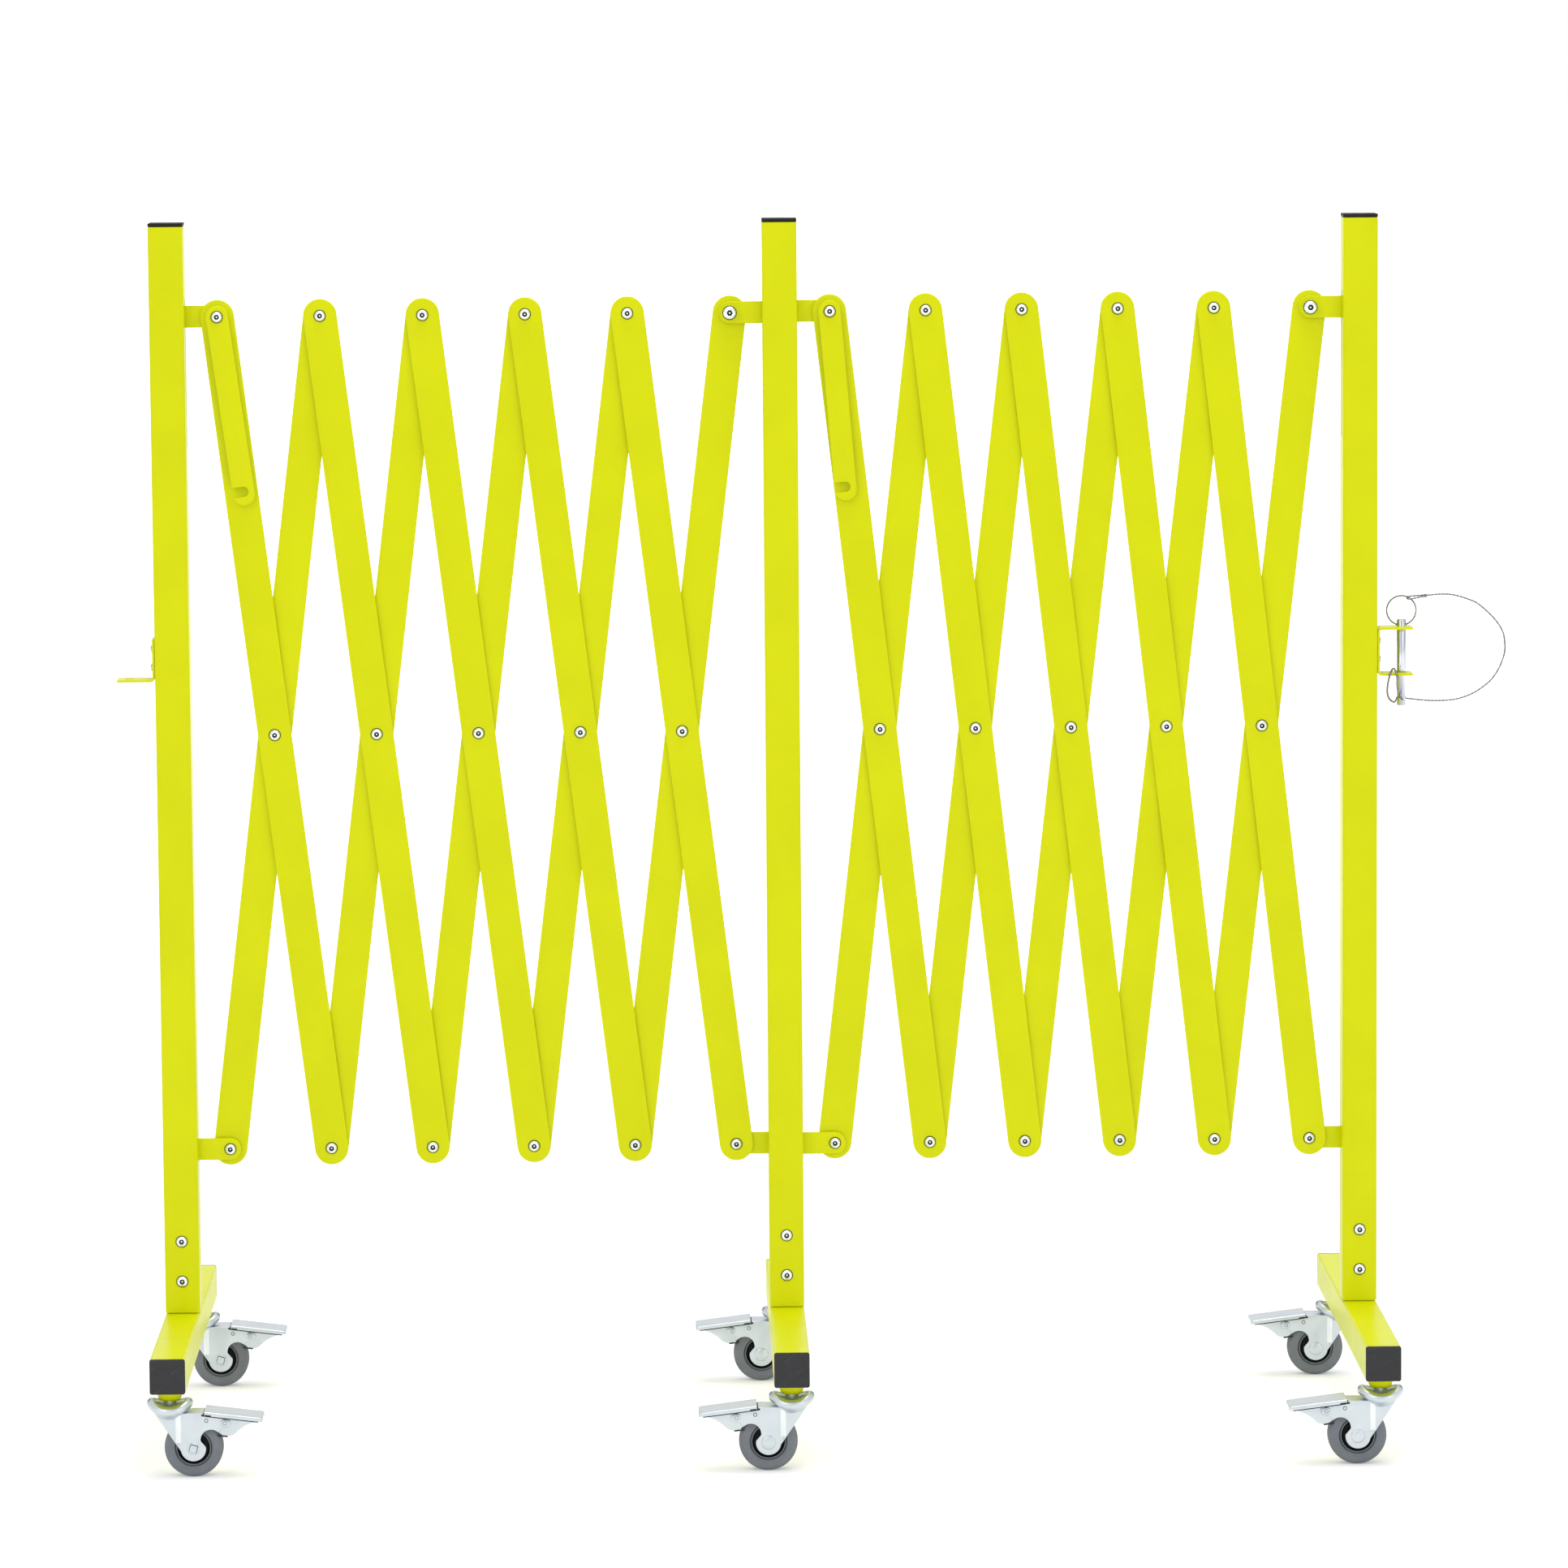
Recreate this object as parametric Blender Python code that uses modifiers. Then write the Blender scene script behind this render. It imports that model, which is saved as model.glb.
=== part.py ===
"""Expandable safety barrier: two scissor lattices of flat bars between three stands on casters.

Metres, Z up, X along the barrier and Y from the front of the legs to the rear. The origin is on the
floor, under the middle of the whole barrier.
"""

import math

import bmesh
import bpy
from mathutils import Matrix, Vector

# Square tube of posts and legs
TUBE_SIDE = 0.030
TUBE_WALL = 0.0015
TUBE_CORNER = 0.002
LEG_LENGTH = 0.455
POST_HEADROOM = 0.0726
FIT_GAP = 0.0003
WELD = 0.0002
CUT_OVERRUN = 0.004
CORNER_STEPS = 2
SHARP_ANGLE = 35

# Stub on the leg, caps and plugs
STUB_LENGTH = 0.080
STUB_WALL = 0.002
CAP_HEAD = 0.003
CAP_DEPTH = 0.010
CAP_CORNER = 0.001
PLUG_HEAD = 0.003

# Scissor lattice
CELLS = 5
SLAT_REACH = 0.730
SLAT_WIDTH = 0.029
SLAT_THICKNESS = 0.003
LAYER_GAP = 0.001
CLOSED_SIDE_GAP = 0.0014
LEFT_PITCH = 0.0882
RIGHT_PITCH = 0.0829
OPEN_PITCH = 0.380
END_STEPS = 5

# Pivot screws
SCREW_RADIUS = 0.003
SCREW_CLEARANCE = 0.0003
HEAD_RADIUS = 0.00525
HEAD_HEIGHT = 0.0033
HEAD_CROWN_SHARE = 0.55
HEAD_STEPS = 8
NUT_RADIUS = 0.0056
NUT_HEIGHT = 0.005
HEX_STEPS = 6

# Arms that tie the lattices to the posts
ARM_REACH = 0.028
ARM_HEIGHT = 0.019
ARM_THICKNESS = 0.003
LOW_PIVOT_RISE = 0.143
SLIDE_CLEARANCE = 0.0004
SLOT_END_GAP = 0.001
GUIDE_HEIGHT = 0.036
GUIDE_SPLIT = 0.0018

# Lock links and the studs that they hook on
LINK_WIDTH = 0.019
LINK_THICKNESS = 0.003
LINK_STANDOFF = 0.0007
LINK_LIP = 0.0075
LEFT_LINK_ANGLE = 7.8
RIGHT_LINK_ANGLE = 4.8
SPACER_RADIUS = 0.0065
STUD_RADIUS = 0.004
STUD_CLEARANCE = 0.0004
STUD_HEAD_RADIUS = 0.00625
STUD_HEAD_HEIGHT = 0.0035

# Caster bosses under the legs
CASTER_INSET = 0.029
BOSS_RADIUS = 0.0105
BOSS_HEIGHT = 0.010
BOSS_RIM_SHARE = 0.45
BOSS_TIP_SHARE = 0.68
BOSS_STEPS = 8

# Caster: side plates, swivel bowl and stem
CASTER_HEIGHT = 0.065
WHEEL_RADIUS = 0.025
WHEEL_OFFSET = 0.020
STEM_RADIUS = 0.004
STEM_CLEARANCE = 0.0003
STEM_LENGTH = 0.009
NECK_RADIUS = 0.0055
BOWL_RADIUS = 0.0197
BOWL_RIM_HEIGHT = 0.0115
BOWL_WALL = 0.002
BOWL_FLOOR_SHARE = 0.55
BOWL_STEPS = 12
CROWN_CLEARANCE = 0.0035
CROWN_THICKNESS = 0.002
PLATE_THICKNESS = 0.002
PLATE_FRONT_SHARE = 0.62
AXLE_LOBE_RADIUS = 0.0107
LOBE_END = 370
LOBE_STEPS = 4
NOTCH_RADIUS = 0.0088
NOTCH_RUN = 0.015
NOTCH_RISE = 0.0075
NOTCH_START = 185
NOTCH_END = 45
NOTCH_STEPS = 4
TAIL_RADIUS = 0.0042
TAIL_START = -30
TAIL_END = 60
TAIL_STEPS = 2

# Caster: axle, wheel and brake pedal
AXLE_RADIUS = 0.003
AXLE_CLEARANCE = 0.0003
AXLE_HEAD_RADIUS = 0.0050
AXLE_HEAD_HEIGHT = 0.003
TYRE_WIDTH = 0.018
TYRE_CROWN = 0.0025
HUB_WIDTH = 0.020
HUB_RADIUS = 0.009
RIM_RADIUS = 0.0165
HUB_SIDE_GAP = 0.0005
WHEEL_STEPS = 16
PEDAL_LENGTH = 0.079
PEDAL_START_GAP = 0.001
PEDAL_RISE = 0.002
PEDAL_DROP = 0.006
PEDAL_OVERHANG = 0.004
PEDAL_SHEET = 0.0015
PEDAL_LIP = 0.002
PEDAL_SIDE_GAP = 0.0003
PIVOT_RUN = 0.027
PIVOT_DROP = 0.0085
RIVET_RADIUS = 0.0022
RIVET_CLEARANCE = 0.0003
RIVET_HEAD_HEIGHT = 0.001
PAD_WIDTH = 0.014
PAD_THICKNESS = 0.004
PAD_GAP = 0.0025
PAD_RISE = 0.0115
SKIRT_STEPS = 3

# Receiver bracket on the left post and clevis on the right post
BRACKET_DEPTH = 0.025
BRACKET_SHEET = 0.002
BRACKET_BEND = 0.0036
BEND_STEPS = 3
RECEIVER_HEIGHT = 0.658
RECEIVER_REACH = 0.033
RECEIVER_PLATE = 0.0375
CLEVIS_HEIGHT = 0.6538
CLEVIS_GAP = 0.038
CLEVIS_REACH = 0.031
PIN_REACH = 0.022
PIN_RADIUS = 0.004
PIN_CLEARANCE = 0.0003
PIN_STEPS = 12

# Coupling pin, pull ring, spring clip and lanyard
PIN_LENGTH = 0.075
PIN_RISE = 0.0062
PIN_CHAMFER = 0.001
RING_RADIUS = 0.0135
RING_WIRE_RADIUS = 0.00075
RING_STEPS = 18
RING_WIRE_STEPS = 6
CLIP_WIRE_RADIUS = 0.0009
CLIP_DROP = 0.0690
CLIP_TAIL = 0.0016
CLIP_STANDOFF = 0.0016
CLIP_ELBOW = 0.0027
CLIP_WIDTH = 0.0135
CLIP_RISE = 0.0245
CLIP_SPACING = 0.0038
CROSS_HOLE_CLEARANCE = 0.0004
CORD_RADIUS = 0.00075
CORD_SPACING = 0.0045
EYE_LENGTH = 0.0172
EYE_HALF_WIDTH = 0.0025
EYE_NECK = 0.0011
EYE_ROLL = 25
EYE_RISE = 7.5
EYE_RING_ANGLE = 58.6
EYE_SETBACK = 0.0042
EYE_STEPS = 4
FERRULE_RADIUS = 0.0016
FERRULE_LENGTH = 0.004
FERRULE_BITE = 0.001
FERRULE_STEPS = 8

# Wire loop of the clip from its elbow on: across, forward and up, as shares of its width, elbow and rise
CLIP_LOOP_SHARES = [
    (-0.40, 0.0, 0.45),
    (-0.42, 0.0, 0.75),
    (-0.56, 0.0, 0.97),
    (-0.74, 0.0, 0.92),
    (-0.92, 0.0, 0.62),
    (-1.00, 0.0, 0.30),
    (-0.93, 0.0, 0.06),
    (-0.72, 0.0, -0.10),
    (-0.48, -0.7, 0.04),
    (-0.40, -1.0, 0.20),
]

# Route of the lanyard from ferrule to pin, as places right of, behind and above the pin's lower hole
CORD_ROUTE = [
    (0.0354, 0.0000, 0.0905),
    (0.0460, 0.0005, 0.0895),
    (0.0570, 0.0010, 0.0862),
    (0.0670, 0.0010, 0.0815),
    (0.0800, 0.0010, 0.0697),
    (0.0875, 0.0010, 0.0590),
    (0.0900, 0.0010, 0.0490),
    (0.0898, 0.0010, 0.0385),
    (0.0855, 0.0010, 0.0262),
    (0.0788, 0.0008, 0.0160),
    (0.0700, 0.0006, 0.0085),
    (0.0610, 0.0004, 0.0032),
    (0.0500, 0.0002, -0.0006),
    (0.0400, 0.0000, -0.0020),
    (0.0280, 0.0000, -0.0020),
    (0.0170, 0.0000, -0.0010),
    (0.0100, 0.0000, 0.0000),
]

# Meshing: points closer than this are joined; a new curve starts with one point
MERGE = 0.000005
CURVE_START = 1

# Worked out from the values above
CLOSED_PITCH = SLAT_WIDTH + CLOSED_SIDE_GAP
LOCK_REACH = CELLS * CLOSED_PITCH
CLOSED_HEIGHT = math.sqrt(SLAT_REACH ** 2 - CLOSED_PITCH ** 2)
OPEN_HEIGHT = math.sqrt(SLAT_REACH ** 2 - OPEN_PITCH ** 2)
POST_LENGTH = LOW_PIVOT_RISE + CLOSED_HEIGHT + POST_HEADROOM
LEG_BOTTOM = CASTER_HEIGHT + BOSS_HEIGHT
LEG_TOP = LEG_BOTTOM + TUBE_SIDE
POST_BOTTOM = LEG_TOP + FIT_GAP
POST_TOP = POST_BOTTOM + POST_LENGTH
LOW_PIVOT = LEG_TOP + LOW_PIVOT_RISE
TUBE_BORE = TUBE_SIDE - 2 * TUBE_WALL
SECTION_EXTRA = TUBE_SIDE + 2 * ARM_REACH
LEFT_SPAN = CELLS * LEFT_PITCH + SECTION_EXTRA
RIGHT_SPAN = CELLS * RIGHT_PITCH + SECTION_EXTRA
LEFT_OVERHANG = TUBE_SIDE / 2 + RECEIVER_REACH
RIGHT_OVERHANG = TUBE_SIDE / 2 + max(CLEVIS_REACH, PIN_REACH + RING_RADIUS)
CENTRE_X = (LEFT_SPAN + LEFT_OVERHANG - RIGHT_SPAN - RIGHT_OVERHANG) / 2
LEFT_X = CENTRE_X - LEFT_SPAN
RIGHT_X = CENTRE_X + RIGHT_SPAN
CASTER_Y = LEG_LENGTH / 2 - CASTER_INSET
FRONT_SLAT_Y = -(LAYER_GAP + SLAT_THICKNESS) / 2
REAR_SLAT_Y = (LAYER_GAP + SLAT_THICKNESS) / 2
FRONT_ARM_Y = -(LAYER_GAP + ARM_THICKNESS) / 2
REAR_ARM_Y = (LAYER_GAP + ARM_THICKNESS) / 2
BACK_FACE = LAYER_GAP / 2 + max(SLAT_THICKNESS, ARM_THICKNESS)
SCREW_HOLE = (SCREW_RADIUS + SCREW_CLEARANCE) / math.cos(math.pi / HEX_STEPS)
LINK_BACK = BACK_FACE + HEAD_HEIGHT + LINK_STANDOFF
LINK_FRONT = LINK_BACK + LINK_THICKNESS
WHEEL_HALF = HUB_WIDTH / 2
PLATE_INNER = WHEEL_HALF + HUB_SIDE_GAP
PLATE_OUTER = PLATE_INNER + PLATE_THICKNESS
TREAD_RADIUS = WHEEL_RADIUS / math.cos(math.pi / WHEEL_STEPS)
AXLE_BORE = (AXLE_RADIUS + AXLE_CLEARANCE) / math.cos(math.pi / WHEEL_STEPS)
STEM_BORE = (STEM_RADIUS + STEM_CLEARANCE) / math.cos(math.pi / BOSS_STEPS)
RIVET_HOLE = (RIVET_RADIUS + RIVET_CLEARANCE) / math.cos(math.pi / HEX_STEPS)
PIN_HOLE = (PIN_RADIUS + PIN_CLEARANCE) / math.cos(math.pi / PIN_STEPS)
CROWN_BOTTOM = 2 * WHEEL_RADIUS + CROWN_CLEARANCE
CROWN_TOP = CROWN_BOTTOM + CROWN_THICKNESS
PIN_X = RIGHT_X + TUBE_SIDE / 2 + PIN_REACH
CLEVIS_TOP = CLEVIS_HEIGHT + 2 * BRACKET_SHEET + CLEVIS_GAP
PIN_TOP = CLEVIS_TOP + PIN_RISE
RING_MEAN = RING_RADIUS - RING_WIRE_RADIUS
RING_CENTRE = CLEVIS_TOP + FIT_GAP + RING_RADIUS
CLIP_HEIGHT = PIN_TOP - CLIP_DROP
EYE_SHOULDER = EYE_LENGTH - EYE_HALF_WIDTH


def material(name, red, green, blue, roughness, metallic):
    """A plain finish for one kind of surface."""
    finish = bpy.data.materials.new(name)
    finish.use_nodes = True
    shader = finish.node_tree.nodes["Principled BSDF"]
    shader.inputs["Base Color"].default_value = (red, green, blue, 1)
    shader.inputs["Roughness"].default_value = roughness
    shader.inputs["Metallic"].default_value = metallic
    return finish


def baked(name, source):
    """The evaluated mesh of a temporary object, which is then removed."""
    bpy.context.view_layer.update()
    seen = source.evaluated_get(bpy.context.evaluated_depsgraph_get())
    mesh = bpy.data.meshes.new_from_object(seen)
    mesh.name = name
    mesh.transform(source.matrix_world)
    bpy.data.objects.remove(source)
    return mesh


def welded(mesh):
    """Join the loose caps of a mesh to its sides."""
    work = bmesh.new()
    work.from_mesh(mesh)
    bmesh.ops.remove_doubles(work, verts=work.verts, dist=MERGE)
    work.to_mesh(mesh)
    work.free()
    return mesh


def placed(mesh, x=0, y=0, z=0):
    """The mesh moved to a place."""
    mesh.transform(Matrix.Translation((x, y, z)))
    return mesh


def turned_to(mesh, angle, axis):
    """The mesh turned about the origin, in degrees."""
    mesh.transform(Matrix.Rotation(math.radians(angle), 4, axis))
    return mesh


def prism(name, outlines, length, along):
    """Outlines, the later ones holes, extruded evenly either side of their plane along Y or Z."""
    curve = bpy.data.curves.new(name, "CURVE")
    curve.dimensions = "2D"
    curve.fill_mode = "BOTH"
    curve.extrude = length / 2
    for outline in outlines:
        spline = curve.splines.new("POLY")
        spline.points.add(len(outline) - CURVE_START)
        for point, (across, up) in zip(spline.points, outline):
            point.co = (across, up, 0, 1)
        spline.use_cyclic_u = True
    source = bpy.data.objects.new(name, curve)
    bpy.context.scene.collection.objects.link(source)
    mesh = welded(baked(name, source))
    if along == "Y":
        turned_to(mesh, 90, "X")
    return mesh


def lathe(name, profile, steps, closed=False):
    """A solid of revolution about Z from (radius, height) points that run down its outer side."""
    mesh = bpy.data.meshes.new(name)
    count = len(profile)
    edges = [(index, index + 1) for index in range(count - 1)]
    if closed:
        edges.append((count - 1, 0))
    mesh.from_pydata([(radius, 0, height) for radius, height in profile], edges, [])
    source = bpy.data.objects.new(name, mesh)
    bpy.context.scene.collection.objects.link(source)
    screw = source.modifiers.new("Turn", "SCREW")
    screw.steps = steps
    screw.render_steps = steps
    screw.use_merge_vertices = True
    screw.merge_threshold = MERGE
    return baked(name, source)


def rod(name, radius, length, steps, along):
    """A round bar centred on the origin along X, Y or Z."""
    profile = [(0, length / 2), (radius, length / 2), (radius, -length / 2), (0, -length / 2)]
    mesh = lathe(name, profile, steps)
    if along == "X":
        turned_to(mesh, 90, "Y")
    if along == "Y":
        turned_to(mesh, 90, "X")
    return mesh


def block(name, low, high):
    """A box between two corners."""
    work = bmesh.new()
    bmesh.ops.create_cube(work, size=1)
    size = [top - bottom for bottom, top in zip(low, high)]
    middle = [(top + bottom) / 2 for bottom, top in zip(low, high)]
    bmesh.ops.scale(work, vec=size, verts=work.verts)
    bmesh.ops.translate(work, vec=middle, verts=work.verts)
    mesh = bpy.data.meshes.new(name)
    work.to_mesh(mesh)
    work.free()
    return mesh


def wire(name, points, radius, resolution, closed=False):
    """A round wire along points."""
    curve = bpy.data.curves.new(name, "CURVE")
    curve.dimensions = "3D"
    curve.bevel_depth = radius
    curve.bevel_resolution = resolution
    curve.use_fill_caps = True
    spline = curve.splines.new("POLY")
    spline.points.add(len(points) - CURVE_START)
    for point, place in zip(spline.points, points):
        point.co = (*place, 1)
    spline.use_cyclic_u = closed
    source = bpy.data.objects.new(name, curve)
    bpy.context.scene.collection.objects.link(source)
    return welded(baked(name, source))


def boolean(name, base, others, operation):
    """The base mesh joined with, or cut by, the other meshes, one after another."""
    source = bpy.data.objects.new(name, base)
    bpy.context.scene.collection.objects.link(source)
    tools = []
    for other in others:
        tool = bpy.data.objects.new(other.name, other)
        tool.hide_render = True
        tool.display_type = "WIRE"
        cutters.objects.link(tool)
        modifier = source.modifiers.new(operation.title(), "BOOLEAN")
        modifier.operation = operation
        modifier.object = tool
        tools.append(tool)
    mesh = baked(name, source)
    for tool in tools:
        bpy.data.objects.remove(tool)
    return mesh


def fused(name, base, *others):
    """One solid made of several that meet."""
    return boolean(name, base, others, "UNION")


def cut(name, base, *others):
    """A solid with others taken out of it."""
    return boolean(name, base, others, "DIFFERENCE")


def arc(across, up, radius, start, end, steps):
    """Points of an arc from one angle to another, in degrees, with both its ends."""
    points = []
    for step in range(steps + 1):
        angle = math.radians(start + (end - start) * step / steps)
        points.append((across + radius * math.cos(angle), up + radius * math.sin(angle)))
    return points


def circle(across, up, radius, steps):
    """Points of a whole circle."""
    return arc(across, up, radius, 0, 360 - 360 / steps, steps - 1)


def rounded_square(side, corner):
    """A square outline with its corners rounded."""
    far = side / 2 - corner
    outline = []
    for quarter, (across, up) in enumerate(((far, far), (-far, far), (-far, -far), (far, -far))):
        outline += arc(across, up, corner, 90 * quarter, 90 * quarter + 90, CORNER_STEPS)
    return outline


def square(side):
    """A square outline with sharp corners."""
    far = side / 2
    return [(far, far), (-far, far), (-far, -far), (far, -far)]


def piece(name, mesh, finish, place=(0, 0, 0), turn=0, axis="Y"):
    """A named sub-part of the barrier with its origin at its place."""
    part = bpy.data.objects.new(name, mesh)
    if not mesh.materials:
        mesh.materials.append(finish)
    mesh.shade_smooth()
    mesh.set_sharp_from_angle(angle=math.radians(SHARP_ANGLE))
    part.location = place
    if axis == "Y":
        part.rotation_euler = (0, math.radians(turn), 0)
    else:
        part.rotation_euler = (0, 0, math.radians(turn))
    barrier.objects.link(part)


def screw_head(name, seat, radius, height):
    """A button head with its flat side at the seat, its axis along Z."""
    profile = [(0, seat + height), (radius * HEAD_CROWN_SHARE, seat + height), (radius, seat), (0, seat)]
    return lathe(name, profile, HEAD_STEPS)


def shank_and_nut(name, front):
    """A screw's shank from a height above its seat down to the nut behind the rear layer."""
    back = -(BACK_FACE + FIT_GAP)
    profile = [
        (0, front),
        (SCREW_RADIUS, front),
        (SCREW_RADIUS, back),
        (NUT_RADIUS, back),
        (NUT_RADIUS, back - NUT_HEIGHT),
        (0, back - NUT_HEIGHT),
    ]
    return lathe(name, profile, HEX_STEPS)


def plain_screw(name):
    """The screw of an ordinary lattice pivot, its head on the front layer."""
    head = screw_head(name, BACK_FACE - WELD, HEAD_RADIUS, HEAD_HEIGHT + WELD)
    shank = shank_and_nut(name, BACK_FACE / 2)
    return [turned_to(head, 90, "X"), turned_to(shank, 90, "X")]


def link_screw(name):
    """The longer screw that also carries a lock link, between its head and a spacer."""
    seat = LINK_FRONT + FIT_GAP
    head = screw_head(name, seat, HEAD_RADIUS, HEAD_HEIGHT)
    shank = shank_and_nut(name, seat + WELD)
    spacer_length = LINK_BACK - FIT_GAP - BACK_FACE + WELD
    spacer = rod(name, SPACER_RADIUS, spacer_length, HEAD_STEPS, "Z")
    placed(spacer, z=BACK_FACE - WELD + spacer_length / 2)
    return [turned_to(solid, 90, "X") for solid in (head, shank, spacer)]


def hook_stud(name):
    """The larger headed stud that a lock link hooks on."""
    seat = LINK_FRONT + FIT_GAP
    head = screw_head(name, seat, STUD_HEAD_RADIUS, STUD_HEAD_HEIGHT)
    body_length = seat + WELD - (BACK_FACE - WELD)
    body = rod(name, STUD_RADIUS, body_length, HEAD_STEPS, "Z")
    turned_to(body, 180 / HEAD_STEPS, "Z")
    placed(body, z=BACK_FACE - WELD + body_length / 2)
    shank = shank_and_nut(name, BACK_FACE / 2)
    return [turned_to(solid, 90, "X") for solid in (head, body, shank)]


def slat_outline(low):
    """A bar with round ends, its lower pivot a given height from the origin."""
    half = SLAT_WIDTH / 2
    return arc(0, low, half, 180, 360, END_STEPS) + arc(0, low + SLAT_REACH, half, 0, 180, END_STEPS)


def slat_pivots(low):
    """Heights of a slat's lower, middle and upper pivots."""
    return low, low + SLAT_REACH / 2, low + SLAT_REACH


def front_slat(name, low, carries_link):
    """A front slat with its three pivot screws."""
    bar = placed(prism(name, [slat_outline(low)], SLAT_THICKNESS, "Y"), y=FRONT_SLAT_Y)
    screws = []
    for index, height in enumerate(slat_pivots(low)):
        top = index == 2
        solids = link_screw(name) if top and carries_link else plain_screw(name)
        screws += [placed(solid, z=height) for solid in solids]
    return fused(name, bar, *screws)


def rear_slat(name, low):
    """A rear slat with a hole at each of its three pivots."""
    holes = [circle(0, height, SCREW_HOLE, HEX_STEPS) for height in slat_pivots(low)]
    bar = prism(name, [slat_outline(low)] + holes, SLAT_THICKNESS, "Y")
    return placed(bar, y=REAR_SLAT_Y)


def arm_bar(name, root, front, hole):
    """A flat arm from its root to the pivot at the origin, on the +X side of the root."""
    half = ARM_HEIGHT / 2
    outline = [(root, half), (root, -half)] + arc(0, 0, half, -90, 90, END_STEPS)
    outlines = [outline]
    if hole:
        outlines.append(circle(0, 0, SCREW_HOLE, HEX_STEPS))
    return placed(
        prism(name, outlines, ARM_THICKNESS, "Y"), y=FRONT_ARM_Y if front else REAR_ARM_Y
    )


def mirrored(mesh):
    """The mesh turned half round about Z's vertical plane, so that its +X side faces -X."""
    mesh.transform(Matrix.Scale(-1, 4, (1, 0, 0)))
    mesh.flip_normals()
    return mesh


def low_arm(name, side, front):
    """A fixed lower arm beside a post centred on the origin, at its pivot's height."""
    root = -(ARM_REACH + TUBE_WALL / 2)
    bar = arm_bar(name, root, front, not front)
    if front:
        bar = fused(name, bar, *plain_screw(name))
    placed(bar, x=TUBE_SIDE / 2 + ARM_REACH, z=LOW_PIVOT)
    return bar if side > 0 else mirrored(bar)


def slide_slot(name, side, front):
    """The slot in a post's side wall that a sliding arm runs in."""
    middle = FRONT_ARM_Y if front else REAR_ARM_Y
    half = ARM_THICKNESS / 2 + SLIDE_CLEARANCE
    near = TUBE_BORE / 2 - TUBE_WALL
    far = TUBE_SIDE / 2 + CUT_OVERRUN
    low = LOW_PIVOT + OPEN_HEIGHT - ARM_HEIGHT / 2 - SLOT_END_GAP
    high = LOW_PIVOT + CLOSED_HEIGHT + ARM_HEIGHT / 2 + SLOT_END_GAP
    return block(
        name,
        (min(side * near, side * far), middle - half, low),
        (max(side * near, side * far), middle + half, high),
    )


def post(name, x, sides):
    """A post with its lower arms and the slots of its sliding arms; each side is (side, front)."""
    outlines = [rounded_square(TUBE_SIDE, TUBE_CORNER), square(TUBE_BORE)]
    tube = placed(prism(name, outlines, POST_LENGTH, "Z"), z=POST_BOTTOM + POST_LENGTH / 2)
    slots = [slide_slot(name, side, not low_front) for side, low_front in sides]
    arms = [low_arm(name, side, low_front) for side, low_front in sides]
    piece(name, fused(name, cut(name, tube, *slots), *arms), yellow, (x, 0, 0))


def post_cap(name, x):
    """A thin cap with a spigot inside the top of the post."""
    spigot_side = TUBE_BORE - 2 * FIT_GAP
    head_low = POST_TOP + FIT_GAP
    head = prism(name, [rounded_square(TUBE_SIDE, CAP_CORNER)], CAP_HEAD, "Z")
    placed(head, z=head_low + CAP_HEAD / 2)
    depth = CAP_DEPTH + WELD
    spigot = prism(name, [square(spigot_side)], depth, "Z")
    placed(spigot, z=head_low + WELD - depth / 2)
    piece(name, fused(name, head, spigot), black, (x, 0, 0))


def caster_boss(name):
    """The tapered boss under a leg that a caster's stem turns in."""
    rim = BOSS_HEIGHT * BOSS_RIM_SHARE
    profile = [
        (0, TUBE_WALL / 2),
        (BOSS_RADIUS, TUBE_WALL / 2),
        (BOSS_RADIUS, -rim),
        (BOSS_RADIUS * BOSS_TIP_SHARE, -BOSS_HEIGHT),
        (0, -BOSS_HEIGHT),
    ]
    return placed(lathe(name, profile, BOSS_STEPS), z=LEG_BOTTOM)


def leg(name, x):
    """A leg tube with its end plugs, the stub that holds the post and the two caster bosses."""
    middle = LEG_BOTTOM + TUBE_SIDE / 2
    tube_length = LEG_LENGTH - 2 * PLUG_HEAD
    outlines = [rounded_square(TUBE_SIDE, TUBE_CORNER), square(TUBE_BORE)]
    tube = placed(prism(name, outlines, tube_length, "Y"), z=middle)
    added = []
    for end in (-1, 1):
        head_outline = rounded_square(TUBE_SIDE - 2 * FIT_GAP, TUBE_CORNER)
        head = prism(name, [head_outline], PLUG_HEAD + WELD, "Y")
        added.append(placed(head, y=end * (LEG_LENGTH - PLUG_HEAD - WELD) / 2, z=middle))
        added.append(placed(caster_boss(name), y=end * CASTER_Y))
    stub_side = TUBE_BORE - 2 * FIT_GAP
    stub_low = LEG_TOP - TUBE_WALL / 2
    stub_height = LEG_TOP + STUB_LENGTH - stub_low
    stub = prism(name, [square(stub_side)], stub_height, "Z")
    added.append(placed(stub, z=stub_low + stub_height / 2))
    solid = fused(name, tube, *added)
    bore_side = stub_side - 2 * STUB_WALL
    bore_low = LEG_TOP - 2 * TUBE_WALL
    bore_height = LEG_TOP + STUB_LENGTH + CUT_OVERRUN - bore_low
    bore = prism(name, [square(bore_side)], bore_height, "Z")
    placed(bore, z=bore_low + bore_height / 2)
    sockets = []
    for end in (-1, 1):
        socket = rod(name, STEM_BORE, BOSS_HEIGHT + CUT_OVERRUN, BOSS_STEPS, "Z")
        turned_to(socket, 90 / BOSS_STEPS, "Z")
        sockets.append(placed(socket, y=end * CASTER_Y, z=LEG_BOTTOM - BOSS_HEIGHT / 2))
    piece(name, cut(name, solid, bore, *sockets), yellow, (x, 0, 0))


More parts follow.
